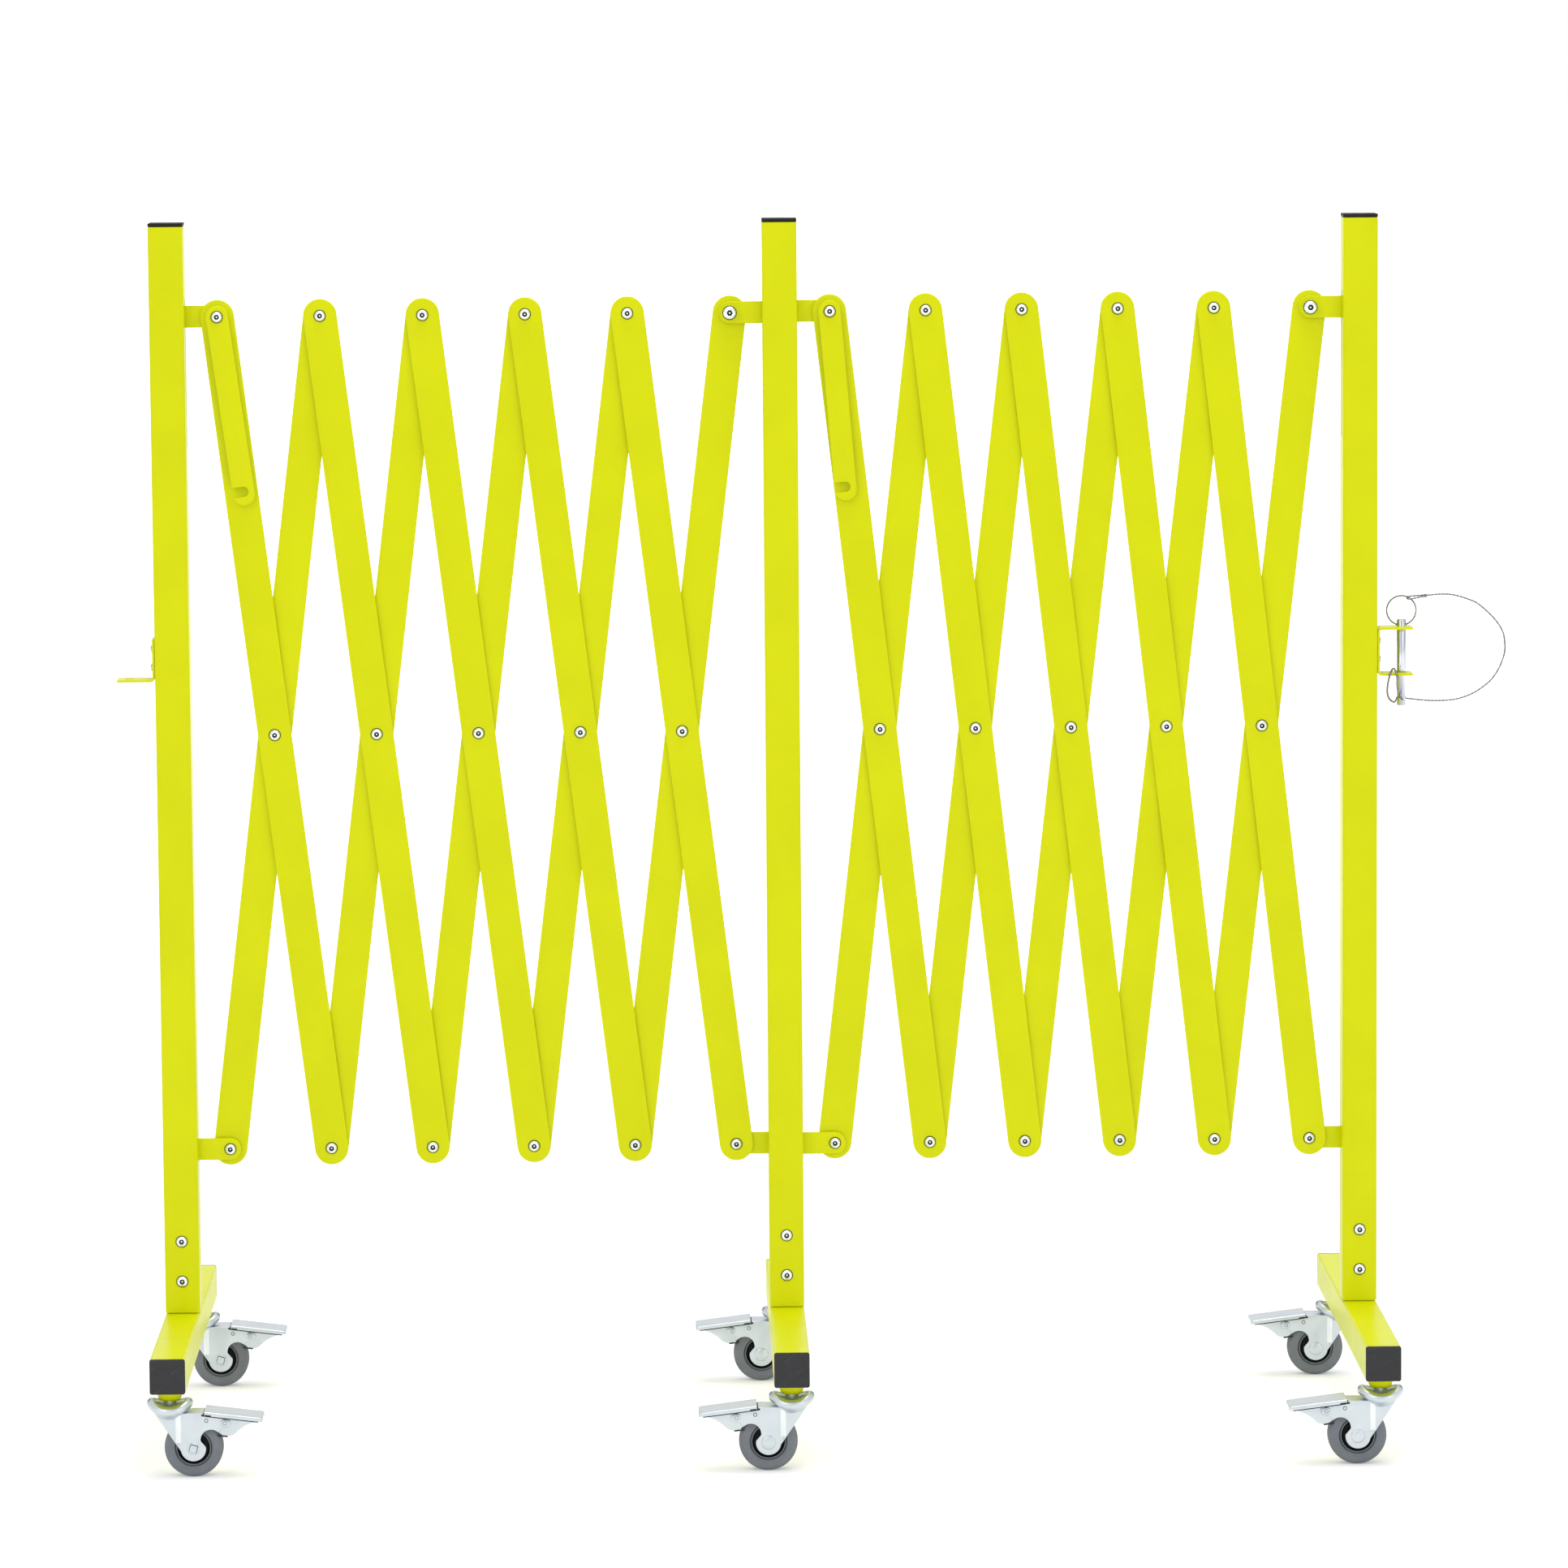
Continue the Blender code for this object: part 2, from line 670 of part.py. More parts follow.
def sliding_arm(name, x, height, side, front):
    """An upper arm with its guide block, which slides in the post on the far side from its pivot."""
    root = -(ARM_REACH + TUBE_WALL + SLIDE_CLEARANCE + WELD)
    bar = arm_bar(name, root, front, not front)
    if front:
        bar = fused(name, bar, *hook_stud(name))
    wall_side = -(ARM_REACH + TUBE_WALL + SLIDE_CLEARANCE)
    core_side = -(ARM_REACH + TUBE_SIDE / 2 - GUIDE_SPLIT / 2)
    half_depth = TUBE_BORE / 2 - SLIDE_CLEARANCE
    guide = block(
        name,
        (core_side, -half_depth, -GUIDE_HEIGHT / 2),
        (wall_side, half_depth, GUIDE_HEIGHT / 2),
    )
    arm = fused(name, bar, guide)
    if side < 0:
        mirrored(arm)
    piece(name, arm, yellow, (x, 0, height))


def lock_link(name, x, height, angle):
    """The bar that hooks a closed section together, hanging from the upper pivot."""
    half = LINK_WIDTH / 2
    slot = STUD_RADIUS + STUD_CLEARANCE
    foot = -(LOCK_REACH + slot + LINK_LIP - half)
    hook = arc(0, -LOCK_REACH, slot, 90, -90, END_STEPS)
    outline = arc(0, 0, half, 0, 180, END_STEPS)
    lip = math.degrees(math.asin(max(0, half - LINK_LIP) / half))
    outline += [(-half, -LOCK_REACH + slot)] + hook
    outline += arc(0, foot, half, 180 + lip, 360, END_STEPS)
    hole = circle(0, 0, SCREW_HOLE, HEX_STEPS)
    bar = prism(name, [outline, hole], LINK_THICKNESS, "Y")
    placed(bar, y=-(LINK_BACK + LINK_FRONT) / 2)
    piece(name, bar, yellow, (x, 0, height), -angle)


def section(name, x, pitch, link_angle, low_at_left):
    """One lattice from its left end pivots; each slat's origin is on the hinge that carries it."""
    lean = math.degrees(math.asin(pitch / SLAT_REACH))
    rise = math.sqrt(SLAT_REACH ** 2 - pitch ** 2)
    top = LOW_PIVOT + rise
    middle = LOW_PIVOT + rise / 2
    front_low = -SLAT_REACH / 2 if low_at_left else 0
    rear_low = 0 if low_at_left else -SLAT_REACH / 2
    linked = front_slat(name + "_front_slat", front_low, True)
    plain = front_slat(name + "_front_slat", front_low, False)
    rear = rear_slat(name + "_rear_slat", rear_low)
    for cell in range(CELLS):
        left_x = x + cell * pitch
        right_x = left_x + pitch
        cross_x = (left_x + right_x) / 2
        front_place = (cross_x, 0, middle) if low_at_left else (right_x, 0, LOW_PIVOT)
        rear_place = (left_x, 0, LOW_PIVOT) if low_at_left else (cross_x, 0, middle)
        number = str(cell + 1)
        bar = plain if cell else linked
        piece(name + "_front_slat_" + number, bar, yellow, front_place, -lean)
        piece(name + "_rear_slat_" + number, rear, yellow, rear_place, lean)
    sliding_arm(name + "_section_left_arm", x, top, 1, False)
    sliding_arm(name + "_section_right_arm", x + CELLS * pitch, top, -1, True)
    lock_link(name + "_lock_link", x, top, link_angle)


def plate_outline():
    """Side plate of a caster fork: a sloping front, the axle lobe, the notch and the pedal's ear."""
    front = -BOWL_RADIUS * PLATE_FRONT_SHARE
    axle = (WHEEL_OFFSET, WHEEL_RADIUS)
    corner = (front, CROWN_TOP)
    run = axle[0] - corner[0]
    drop = corner[1] - axle[1]
    slope = math.degrees(math.atan2(drop, run))
    reach = math.degrees(math.acos(AXLE_LOBE_RADIUS / math.hypot(run, drop)))
    tangent = 180 - slope + reach
    notch_x = axle[0] + NOTCH_RUN
    notch_z = axle[1] + NOTCH_RISE
    pivot = (axle[0] + PIVOT_RUN, CROWN_TOP - PIVOT_DROP)
    outline = [(front, CROWN_TOP), (front, CROWN_BOTTOM)]
    outline += arc(axle[0], axle[1], AXLE_LOBE_RADIUS, tangent, LOBE_END, LOBE_STEPS)
    outline += arc(notch_x, notch_z, NOTCH_RADIUS, NOTCH_START, NOTCH_END, NOTCH_STEPS)
    outline += [(pivot[0], pivot[1] - TAIL_RADIUS)]
    outline += arc(pivot[0], pivot[1], TAIL_RADIUS, TAIL_START, TAIL_END, TAIL_STEPS)
    crown_end = axle[0] + NOTCH_RADIUS
    outline += [(crown_end, CROWN_TOP - PEDAL_SHEET - PEDAL_SIDE_GAP), (crown_end, CROWN_TOP)]
    return outline


def swivel_bowl(name):
    """The dished swivel head with its neck and the stem that turns in the boss."""
    shoulder = CASTER_HEIGHT - FIT_GAP
    floor_radius = BOWL_RADIUS * BOWL_FLOOR_SHARE
    rim_top = CROWN_TOP + BOWL_RIM_HEIGHT
    profile = [
        (0, shoulder + STEM_LENGTH),
        (STEM_RADIUS, shoulder + STEM_LENGTH),
        (STEM_RADIUS, shoulder),
        (NECK_RADIUS, shoulder),
        (NECK_RADIUS, CROWN_TOP + BOWL_WALL),
        (floor_radius, CROWN_TOP + BOWL_WALL),
        (BOWL_RADIUS - BOWL_WALL, rim_top),
        (BOWL_RADIUS, rim_top - BOWL_WALL),
        (floor_radius + BOWL_WALL, CROWN_TOP - WELD),
        (0, CROWN_TOP - WELD),
    ]
    return lathe(name, profile, BOWL_STEPS)


def fork_mesh(name):
    """A caster's fork: swivel bowl, crown, two side plates and the axle bolt with its nut."""
    outline = plate_outline()
    pivot = (WHEEL_OFFSET + PIVOT_RUN, CROWN_TOP - PIVOT_DROP)
    hole = circle(pivot[0], pivot[1], RIVET_HOLE, HEX_STEPS)
    front = -BOWL_RADIUS * PLATE_FRONT_SHARE
    back = WHEEL_OFFSET + PIVOT_RUN + TAIL_RADIUS + CUT_OVERRUN
    crown_end = WHEEL_OFFSET + NOTCH_RADIUS - CROWN_THICKNESS
    well = [
        (front - CUT_OVERRUN, -CUT_OVERRUN),
        (back, -CUT_OVERRUN),
        (back, CROWN_TOP + CUT_OVERRUN),
        (crown_end, CROWN_TOP + CUT_OVERRUN),
        (crown_end, CROWN_BOTTOM),
        (front - CUT_OVERRUN, CROWN_BOTTOM),
    ]
    body = prism(name, [outline, hole], 2 * PLATE_OUTER, "Y")
    body = cut(name, body, prism(name, [well], 2 * PLATE_INNER, "Y"))
    head = PLATE_OUTER + AXLE_HEAD_HEIGHT
    axle_profile = [
        (0, head),
        (AXLE_HEAD_RADIUS, head),
        (AXLE_HEAD_RADIUS, PLATE_OUTER - WELD),
        (AXLE_RADIUS, PLATE_OUTER - WELD),
        (AXLE_RADIUS, -PLATE_OUTER + WELD),
        (AXLE_HEAD_RADIUS, -PLATE_OUTER + WELD),
        (AXLE_HEAD_RADIUS, -head),
        (0, -head),
    ]
    axle = turned_to(lathe(name, axle_profile, HEX_STEPS), 90, "X")
    placed(axle, x=WHEEL_OFFSET, z=WHEEL_RADIUS)
    return fused(name, body, swivel_bowl(name), axle)


def wheel_mesh(name):
    """A wheel with a bored hub, a recessed web and a crowned tyre, one facet of its tread lying flat."""
    half = TYRE_WIDTH / 2
    side = [
        (AXLE_BORE, WHEEL_HALF),
        (HUB_RADIUS, WHEEL_HALF),
        (RIM_RADIUS, half),
        (TREAD_RADIUS, half - TYRE_CROWN),
    ]
    profile = side + [(radius, -height) for radius, height in reversed(side)]
    wheel = turned_to(lathe(name, profile, WHEEL_STEPS, closed=True), 180 / WHEEL_STEPS, "Z")
    return turned_to(wheel, 90, "X")


def pedal_mesh(name):
    """A brake pedal about its rivet: a lipped tread, two walls between the plates, a pad and the rivet."""
    pivot = (WHEEL_OFFSET + PIVOT_RUN, CROWN_TOP - PIVOT_DROP)
    start = WHEEL_OFFSET + NOTCH_RADIUS + PEDAL_START_GAP
    slope = PEDAL_DROP / (PEDAL_LENGTH - start)
    top = CROWN_TOP + PEDAL_RISE
    under = top - PEDAL_SHEET
    half = PLATE_OUTER + PEDAL_OVERHANG
    tread_outline = [
        (start, top),
        (start, under - PEDAL_LIP),
        (PEDAL_LENGTH, under - PEDAL_LIP - PEDAL_DROP),
        (PEDAL_LENGTH, top - PEDAL_DROP),
    ]
    channel = [
        (start - CUT_OVERRUN, under + slope * CUT_OVERRUN),
        (start - CUT_OVERRUN, under - PEDAL_DROP - CUT_OVERRUN),
        (PEDAL_LENGTH + CUT_OVERRUN, under - PEDAL_DROP - CUT_OVERRUN),
        (PEDAL_LENGTH + CUT_OVERRUN, under - PEDAL_DROP - slope * CUT_OVERRUN),
    ]
    tread = prism(name, [tread_outline], 2 * half, "Y")
    tread = cut(name, tread, prism(name, [channel], 2 * (half - PEDAL_SHEET), "Y"))
    pad_low = WHEEL_RADIUS + PAD_RISE
    pad_x = WHEEL_OFFSET + math.sqrt((TREAD_RADIUS + PAD_GAP) ** 2 - PAD_RISE ** 2)
    pad_back = pad_x + PAD_THICKNESS
    wall_start = start + WELD
    wall_end = PEDAL_LENGTH - PEDAL_SHEET
    wall_low = pad_low + PEDAL_LIP
    end_low = under - PEDAL_DROP - PEDAL_LIP
    wall_top = top - PEDAL_SHEET / 2
    wall_outline = [(wall_start, wall_top), (wall_start, under - PEDAL_SHEET)]
    wall_outline += [(pad_x, wall_low), (pad_back, wall_low)]
    for step in range(1, SKIRT_STEPS):
        share = step / SKIRT_STEPS
        rise = (end_low - wall_low) * math.sin(math.radians(90 * share))
        wall_outline.append((pad_back + (wall_end - pad_back) * share, wall_low + rise))
    wall_outline += [(wall_end, end_low), (wall_end, wall_top - slope * (wall_end - wall_start))]
    wall_middle = PLATE_INNER - PEDAL_SIDE_GAP - PEDAL_SHEET / 2
    walls = [
        placed(prism(name, [wall_outline], PEDAL_SHEET, "Y"), y=side * wall_middle) for side in (-1, 1)
    ]
    pad_top = under - slope * (pad_back - start) + PEDAL_SHEET / 2
    pad = block(name, (pad_x, -PAD_WIDTH / 2, pad_low), (pad_back, PAD_WIDTH / 2, pad_top))
    rivet = rod(name, RIVET_RADIUS, 2 * (PLATE_OUTER + RIVET_HEAD_HEIGHT), HEX_STEPS, "Y")
    placed(rivet, x=pivot[0], z=pivot[1])
    solid = fused(name, tread, *walls, pad, rivet)
    return placed(solid, x=-pivot[0], z=-pivot[1])


def casters(name, x, trail):
    """The two casters of a stand, trailing along X to one side."""
    turn = 0 if trail > 0 else 180
    for end, side in (("front", -1), ("rear", 1)):
        stem = name + "_" + end
        y = side * CASTER_Y
        axle = (x + trail * WHEEL_OFFSET, y, WHEEL_RADIUS)
        rivet = (x + trail * (WHEEL_OFFSET + PIVOT_RUN), y, CROWN_TOP - PIVOT_DROP)
        piece(stem + "_caster_fork", shared["fork"], zinc, (x, y, 0), turn, "Z")
        piece(stem + "_wheel", shared["wheel"], rubber, axle, turn, "Z")
        piece(stem + "_brake_pedal", shared["pedal"], zinc, rivet, turn, "Z")


def bent_sheet(points, radius, sheet):
    """A sheet's outline from the corners of its outer side, each inner corner bent with a radius."""
    outer = [points[0]]
    inner = []
    for before, corner, after in zip(points, points[1:], points[2:]):
        back = (Vector(before) - Vector(corner)).normalized()
        ahead = (Vector(after) - Vector(corner)).normalized()
        centre = Vector(corner) + (back + ahead) * radius
        start = math.degrees(math.atan2(-ahead.y, -ahead.x))
        turn = math.degrees(back.angle_signed(ahead))
        sweep = 90 if turn > 0 else -90
        outer += arc(centre.x, centre.y, radius, start, start + sweep, BEND_STEPS)
        inner += arc(centre.x, centre.y, radius - sheet, start, start + sweep, BEND_STEPS)
    outer.append(points[-1])
    first_side = (Vector(points[2]) - Vector(points[1])).normalized() * sheet
    last_side = (Vector(points[-3]) - Vector(points[-2])).normalized() * sheet
    inner = [tuple(Vector(points[0]) + first_side)] + inner + [tuple(Vector(points[-1]) + last_side)]
    return outer + inner[::-1]


def receiver_bracket(name):
    """The angle on the left post, with the hole that a neighbour's pin drops through."""
    face = LEFT_X - TUBE_SIDE / 2 - FIT_GAP
    outer = LEFT_X - TUBE_SIDE / 2 - RECEIVER_REACH
    corners = [
        (face, RECEIVER_HEIGHT + RECEIVER_PLATE),
        (face, RECEIVER_HEIGHT),
        (outer, RECEIVER_HEIGHT),
    ]
    sheet = prism(name, [bent_sheet(corners, BRACKET_BEND, BRACKET_SHEET)], BRACKET_DEPTH, "Y")
    hole = rod(name, PIN_HOLE, BRACKET_SHEET + CUT_OVERRUN, PIN_STEPS, "Z")
    hole_x = LEFT_X - TUBE_SIDE / 2 - PIN_REACH
    placed(hole, x=hole_x, z=RECEIVER_HEIGHT + BRACKET_SHEET / 2)
    piece(name, cut(name, sheet, hole), yellow)


def clevis_bracket(name):
    """The channel on the right post that holds the coupling pin upright."""
    face = RIGHT_X + TUBE_SIDE / 2 + FIT_GAP
    outer = RIGHT_X + TUBE_SIDE / 2 + CLEVIS_REACH
    corners = [
        (outer, CLEVIS_HEIGHT),
        (face, CLEVIS_HEIGHT),
        (face, CLEVIS_TOP),
        (outer, CLEVIS_TOP),
    ]
    sheet = prism(name, [bent_sheet(corners, BRACKET_BEND, BRACKET_SHEET)], BRACKET_DEPTH, "Y")
    bore_length = CLEVIS_TOP - CLEVIS_HEIGHT + CUT_OVERRUN
    bore = rod(name, PIN_HOLE, bore_length, PIN_STEPS, "Z")
    placed(bore, x=PIN_X, z=(CLEVIS_TOP + CLEVIS_HEIGHT) / 2)
    piece(name, cut(name, sheet, bore), yellow)


def ring_hole():
    """Height and radius of the pin's upper cross hole, wide enough for the curve of the ring."""
    lift = RING_MEAN - math.sqrt(RING_MEAN ** 2 - PIN_RADIUS ** 2)
    lowest = RING_CENTRE - RING_MEAN
    return lowest + lift / 2, RING_WIRE_RADIUS + lift / 2 + CROSS_HOLE_CLEARANCE


def coupling_pin(name):
    """The round pin with chamfered ends and its two cross holes."""
    profile = [
        (0, 0),
        (PIN_RADIUS - PIN_CHAMFER, 0),
        (PIN_RADIUS, -PIN_CHAMFER),
        (PIN_RADIUS, PIN_CHAMFER - PIN_LENGTH),
        (PIN_RADIUS - PIN_CHAMFER, -PIN_LENGTH),
        (0, -PIN_LENGTH),
    ]
    shaft = placed(lathe(name, profile, PIN_STEPS), z=PIN_TOP)
    height, radius = ring_hole()
    through = 2 * PIN_RADIUS + CUT_OVERRUN
    upper = placed(rod(name, radius, through, HEX_STEPS, "X"), z=height)
    lower_radius = CLIP_WIRE_RADIUS + CROSS_HOLE_CLEARANCE
    lower = placed(rod(name, lower_radius, through, HEX_STEPS, "Y"), z=CLIP_HEIGHT)
    piece(name, cut(name, shaft, upper, lower), zinc, (PIN_X, 0, 0))


def pull_ring(name):
    """The wire ring that stands in the pin's upper hole."""
    profile = [
        (RING_MEAN + across, up)
        for across, up in reversed(circle(0, 0, RING_WIRE_RADIUS, RING_WIRE_STEPS))
    ]
    ring = turned_to(lathe(name, profile, RING_STEPS, closed=True), 90, "X")
    piece(name, ring, zinc, (PIN_X, 0, RING_CENTRE))


def smooth(points, spacing):
    """Points about one spacing apart on a Catmull-Rom curve through the given points."""
    places = [Vector(point) for point in points]
    places = [2 * places[0] - places[1]] + places + [2 * places[-1] - places[-2]]
    route = [places[1]]
    for a, b, c, d in zip(places, places[1:], places[2:], places[3:]):
        steps = max(1, round((c - b).length / spacing))
        for step in range(1, steps + 1):
            t = step / steps
            bend = 2 * b + (c - a) * t
            bend += (2 * a - 5 * b + 4 * c - d) * t ** 2
            bend += (3 * b - a - 3 * c + d) * t ** 3
            route.append(bend / 2)
    return route


def spring_clip(name):
    """The bent wire through the pin's lower hole, with its long loop in front of the clevis."""
    plane = -(BRACKET_DEPTH / 2 + CLIP_STANDOFF + CLIP_WIRE_RADIUS)
    points = [
        (0, PIN_RADIUS + CLIP_TAIL, 0),
        (0, 0, 0),
        (0, plane + CLIP_ELBOW, 0),
        (-CLIP_ELBOW / 3, plane + CLIP_ELBOW / 3, CLIP_ELBOW / 3),
        (-CLIP_ELBOW, plane, CLIP_ELBOW),
    ]
    for across, forward, up in CLIP_LOOP_SHARES:
        points.append((across * CLIP_WIDTH, plane + forward * CLIP_ELBOW, up * CLIP_RISE))
    route = smooth(points, CLIP_SPACING)
    clip = wire(name, route, CLIP_WIRE_RADIUS, 1)
    piece(name, clip, zinc, (PIN_X, 0, CLIP_HEIGHT))


def eye_frame():
    """Where the lanyard's eye meets the ring, and the direction in which it leaves."""
    angle = math.radians(EYE_RING_ANGLE)
    meet = Vector((math.cos(angle), 0, math.sin(angle))) * RING_MEAN
    meet += Vector((PIN_X, 0, RING_CENTRE))
    lean = math.radians(EYE_RISE)
    return meet, Vector((math.cos(lean), 0, math.sin(lean)))


def lanyard_eye(name):
    """The looped end of the lanyard round the ring, closed by its ferrule."""
    meet, ahead = eye_frame()
    roll = math.radians(EYE_ROLL)
    lift = Vector((-ahead.z, 0, ahead.x))
    across = Vector((0, 1, 0)) * math.cos(roll) + lift * math.sin(roll)
    start = meet - ahead * EYE_SETBACK
    outline = arc(EYE_HALF_WIDTH, 0, EYE_HALF_WIDTH, 270, 90, EYE_STEPS)
    outline += [(EYE_SHOULDER, EYE_NECK), (EYE_SHOULDER, -EYE_NECK)]
    points = [start + ahead * along + across * aside for along, aside in outline]
    loop = wire(name, points, CORD_RADIUS, 1, closed=True)
    middle = start + ahead * (EYE_SHOULDER - FERRULE_BITE + FERRULE_LENGTH / 2)
    ferrule = rod(name, FERRULE_RADIUS, FERRULE_LENGTH, FERRULE_STEPS, "X")
    turned_to(ferrule, -EYE_RISE, "Y")
    placed(ferrule, *middle)
    piece(name, fused(name, loop, ferrule), zinc)


def lanyard(name):
    """The thin wire from the ferrule in a wide loop back to the foot of the pin."""
    meet, ahead = eye_frame()
    reach = EYE_SHOULDER - EYE_SETBACK - FERRULE_BITE + FERRULE_LENGTH + FIT_GAP
    start = meet + ahead * reach
    foot = Vector((PIN_X + PIN_RADIUS + FIT_GAP, 0, CLIP_HEIGHT))
    route = [tuple(start)]
    route += [(PIN_X + across, aside, CLIP_HEIGHT + up) for across, aside, up in CORD_ROUTE]
    route += [tuple(foot)]
    cord = wire(name, smooth(route, CORD_SPACING), CORD_RADIUS, 2)
    piece(name, cord, zinc)


for old in list(bpy.data.objects):
    bpy.data.objects.remove(old)

barrier = bpy.data.collections.new("expandable_safety_barrier")
cutters = bpy.data.collections.new("cutters")
bpy.context.scene.collection.children.link(barrier)
bpy.context.scene.collection.children.link(cutters)

yellow = material("yellow_green_powder_coat", 0.72, 0.77, 0.013, 0.35, 0)
zinc = material("zinc_plated_steel", 0.66, 0.71, 0.73, 0.35, 0.8)
rubber = material("grey_rubber_tyre", 0.16, 0.17, 0.20, 0.7, 0)
black = material("black_moulded_plastic", 0.035, 0.035, 0.04, 0.6, 0)

shared = {
    "fork": fork_mesh("caster_fork"),
    "wheel": wheel_mesh("caster_wheel"),
    "pedal": pedal_mesh("brake_pedal"),
}

# Stands from left to right: name, place, and for each side the lower arm's side and whether it is in front
post("left_post", LEFT_X, [(1, True)])
post("centre_post", CENTRE_X, [(-1, False), (1, True)])
post("right_post", RIGHT_X, [(-1, False)])
for stand, stand_x, trail in (("left", LEFT_X, 1), ("centre", CENTRE_X, -1), ("right", RIGHT_X, -1)):
    leg(stand + "_leg", stand_x)
    post_cap(stand + "_post_cap", stand_x)
    casters(stand, stand_x, trail)

END_PIVOT = TUBE_SIDE / 2 + ARM_REACH
section("left", LEFT_X + END_PIVOT, LEFT_PITCH, LEFT_LINK_ANGLE, False)
section("right", CENTRE_X + END_PIVOT, RIGHT_PITCH, RIGHT_LINK_ANGLE, True)

receiver_bracket("receiver_bracket")
clevis_bracket("clevis_bracket")
coupling_pin("coupling_pin")
pull_ring("pull_ring")
spring_clip("spring_clip")
lanyard_eye("lanyard_eye")
lanyard("lanyard")
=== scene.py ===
"""Looks of the expandable safety barrier, laid out as a Blender add-on.

Metres, Z up, X along the barrier and Y from its front casters to its rear ones.
"""

import math

import bmesh
import bpy
import numpy as np
from bpy.props import FloatProperty, FloatVectorProperty, PointerProperty
from mathutils import Matrix, Vector


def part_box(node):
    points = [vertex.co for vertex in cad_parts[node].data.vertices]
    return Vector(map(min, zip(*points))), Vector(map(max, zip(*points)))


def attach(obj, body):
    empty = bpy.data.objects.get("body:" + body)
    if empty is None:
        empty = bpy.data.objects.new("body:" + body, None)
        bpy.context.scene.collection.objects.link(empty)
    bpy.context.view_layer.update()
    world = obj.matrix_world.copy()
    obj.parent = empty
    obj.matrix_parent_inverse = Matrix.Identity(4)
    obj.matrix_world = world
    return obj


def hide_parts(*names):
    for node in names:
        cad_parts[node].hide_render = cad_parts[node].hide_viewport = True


bl_info = {
    "name": "Expandable safety barrier",
    "version": (1, 0, 0),
    "blender": (4, 5, 0),
    "location": "3D View > Sidebar > Barrier",
    "description": "Builds the visible pieces, finishes, stage and camera of a barrier on casters",
    "category": "Object",
}

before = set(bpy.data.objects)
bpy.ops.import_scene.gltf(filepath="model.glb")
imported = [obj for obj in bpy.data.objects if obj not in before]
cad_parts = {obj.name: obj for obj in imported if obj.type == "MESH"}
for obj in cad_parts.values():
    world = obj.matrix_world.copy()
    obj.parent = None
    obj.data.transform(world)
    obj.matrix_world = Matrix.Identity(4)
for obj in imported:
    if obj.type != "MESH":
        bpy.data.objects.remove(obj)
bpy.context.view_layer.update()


def cap_centre(stand):
    """Middle of a stand along X, taken from its cap."""
    low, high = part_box(stand + "_post_cap")
    return (low.x + high.x) / 2


# Stands: middle along X, and the way in which their casters trail
STAND_X = {stand: cap_centre(stand) for stand in ("left", "centre", "right")}
TRAIL = {"left": 1, "centre": -1, "right": -1}
ENDS = {"front": -1, "rear": 1}
LEG_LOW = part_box("centre_leg")[0].z + 0.010
LEG_TOP = LEG_LOW + 0.030
LEG_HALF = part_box("centre_leg")[1].y
POST_LOW = LEG_TOP + 0.0010
POST_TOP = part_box("centre_post")[1].z
CASTER_Y = LEG_HALF - 0.029

# Square tube
TUBE_HALF = 0.015
WALL = 0.0015
BORE_HALF = TUBE_HALF - WALL
PLUG_HEAD = 0.003
STUB_LENGTH = 0.080
TUBE_FIT = 0.0003
ROOT_OVERLAP = 0.0008

# Post caps, and the painted stop on the centre post's front: right of its middle, and up
CAP_GAP = 0.0003
CAP_HEIGHT = 0.003
CAP_EDGE = 0.0008
SPIGOT_LENGTH = 0.010
STOP_PLACE = (0.0059, 1.0084)

# Weld boss under a leg, from its top down and back up its bore
BOSS_RADII = (0.0105, 0.0105, 0.0105, 0.0103, 0.0095, 0.0080, 0.0070, 0.0044, 0.0044)
BOSS_HEIGHTS = (0.0008, -0.0006, -0.0042, -0.0060, -0.0082, -0.0096, -0.0100, -0.0100, 0.0004)

# Lattice of flat bars
CELLS = 5
PITCH = {"left": 0.0882, "right": 0.0829}
SECTION_FROM = {"left": "left", "right": "centre"}
SECTION_TO = {"left": "centre", "right": "right"}
REACH = 0.730
SLAT_HALF = 0.0145
SHEET = 0.003
LAYER_GAP = 0.001
OUTSIDE = SHEET + LAYER_GAP / 2
LOW_PIVOT = LEG_TOP + 0.143
ARM_REACH = 0.028
ARM_HALF = 0.0095
SLOT_LOW = 0.8608
SLOT_HIGH = 0.9879
SLOT_NEAR = 0.0001
SLOT_FAR = 0.0039
GUIDE_HALF = 0.018
GUIDE_CORE = 0.0009
GUIDE_FIT = 0.0004

# Lock links
LINK_HALF = 0.0095
LINK_NEAR = -0.0075
LINK_FAR = -0.0105
LOCK_REACH = 0.152
HOOK_RADIUS = 0.0044
HOOK_LIP = 0.0075
LINK_LEAN = {"left": 7.8, "right": 4.8}

# Screws
SHANK = 0.003
HEAD_RADIUS = 0.0047
HEAD_HEIGHT = 0.0033
FOOT_HEAD_RADIUS = 0.0047
FOOT_HEAD_HEIGHT = 0.0024
SOCKET_RADIUS = 0.0022
HEAD_GAP = 0.0003
PIVOT_WASHER = 0.0078
NUT_WASHER = 0.0066
NUT_WASHER_SHEET = 0.0007
NUT_FLAT = 0.0050
NUT_HEIGHT = 0.0050
STUD_RADIUS = 0.004
STUD_HEAD_RADIUS = 0.0056
STUD_HEAD_HEIGHT = 0.0035
SPACER_RADIUS = 0.0065
FOOT_SCREWS = (0.1335, 0.1687)

# Points round a circle, from the tyres down to thin wire
TYRE_STEPS = 96
FINE_STEPS = 72
ROUND_STEPS = 48
SMALL_STEPS = 24
CLIP_STEPS = 14
WIRE_STEPS = 12

# Steps along a tube's rounded corner and a bar's round end, and the bend in degrees past which an edge shows sharp
CORNER_STEPS = 5
END_STEPS = 14
SHARP_BEND = 32

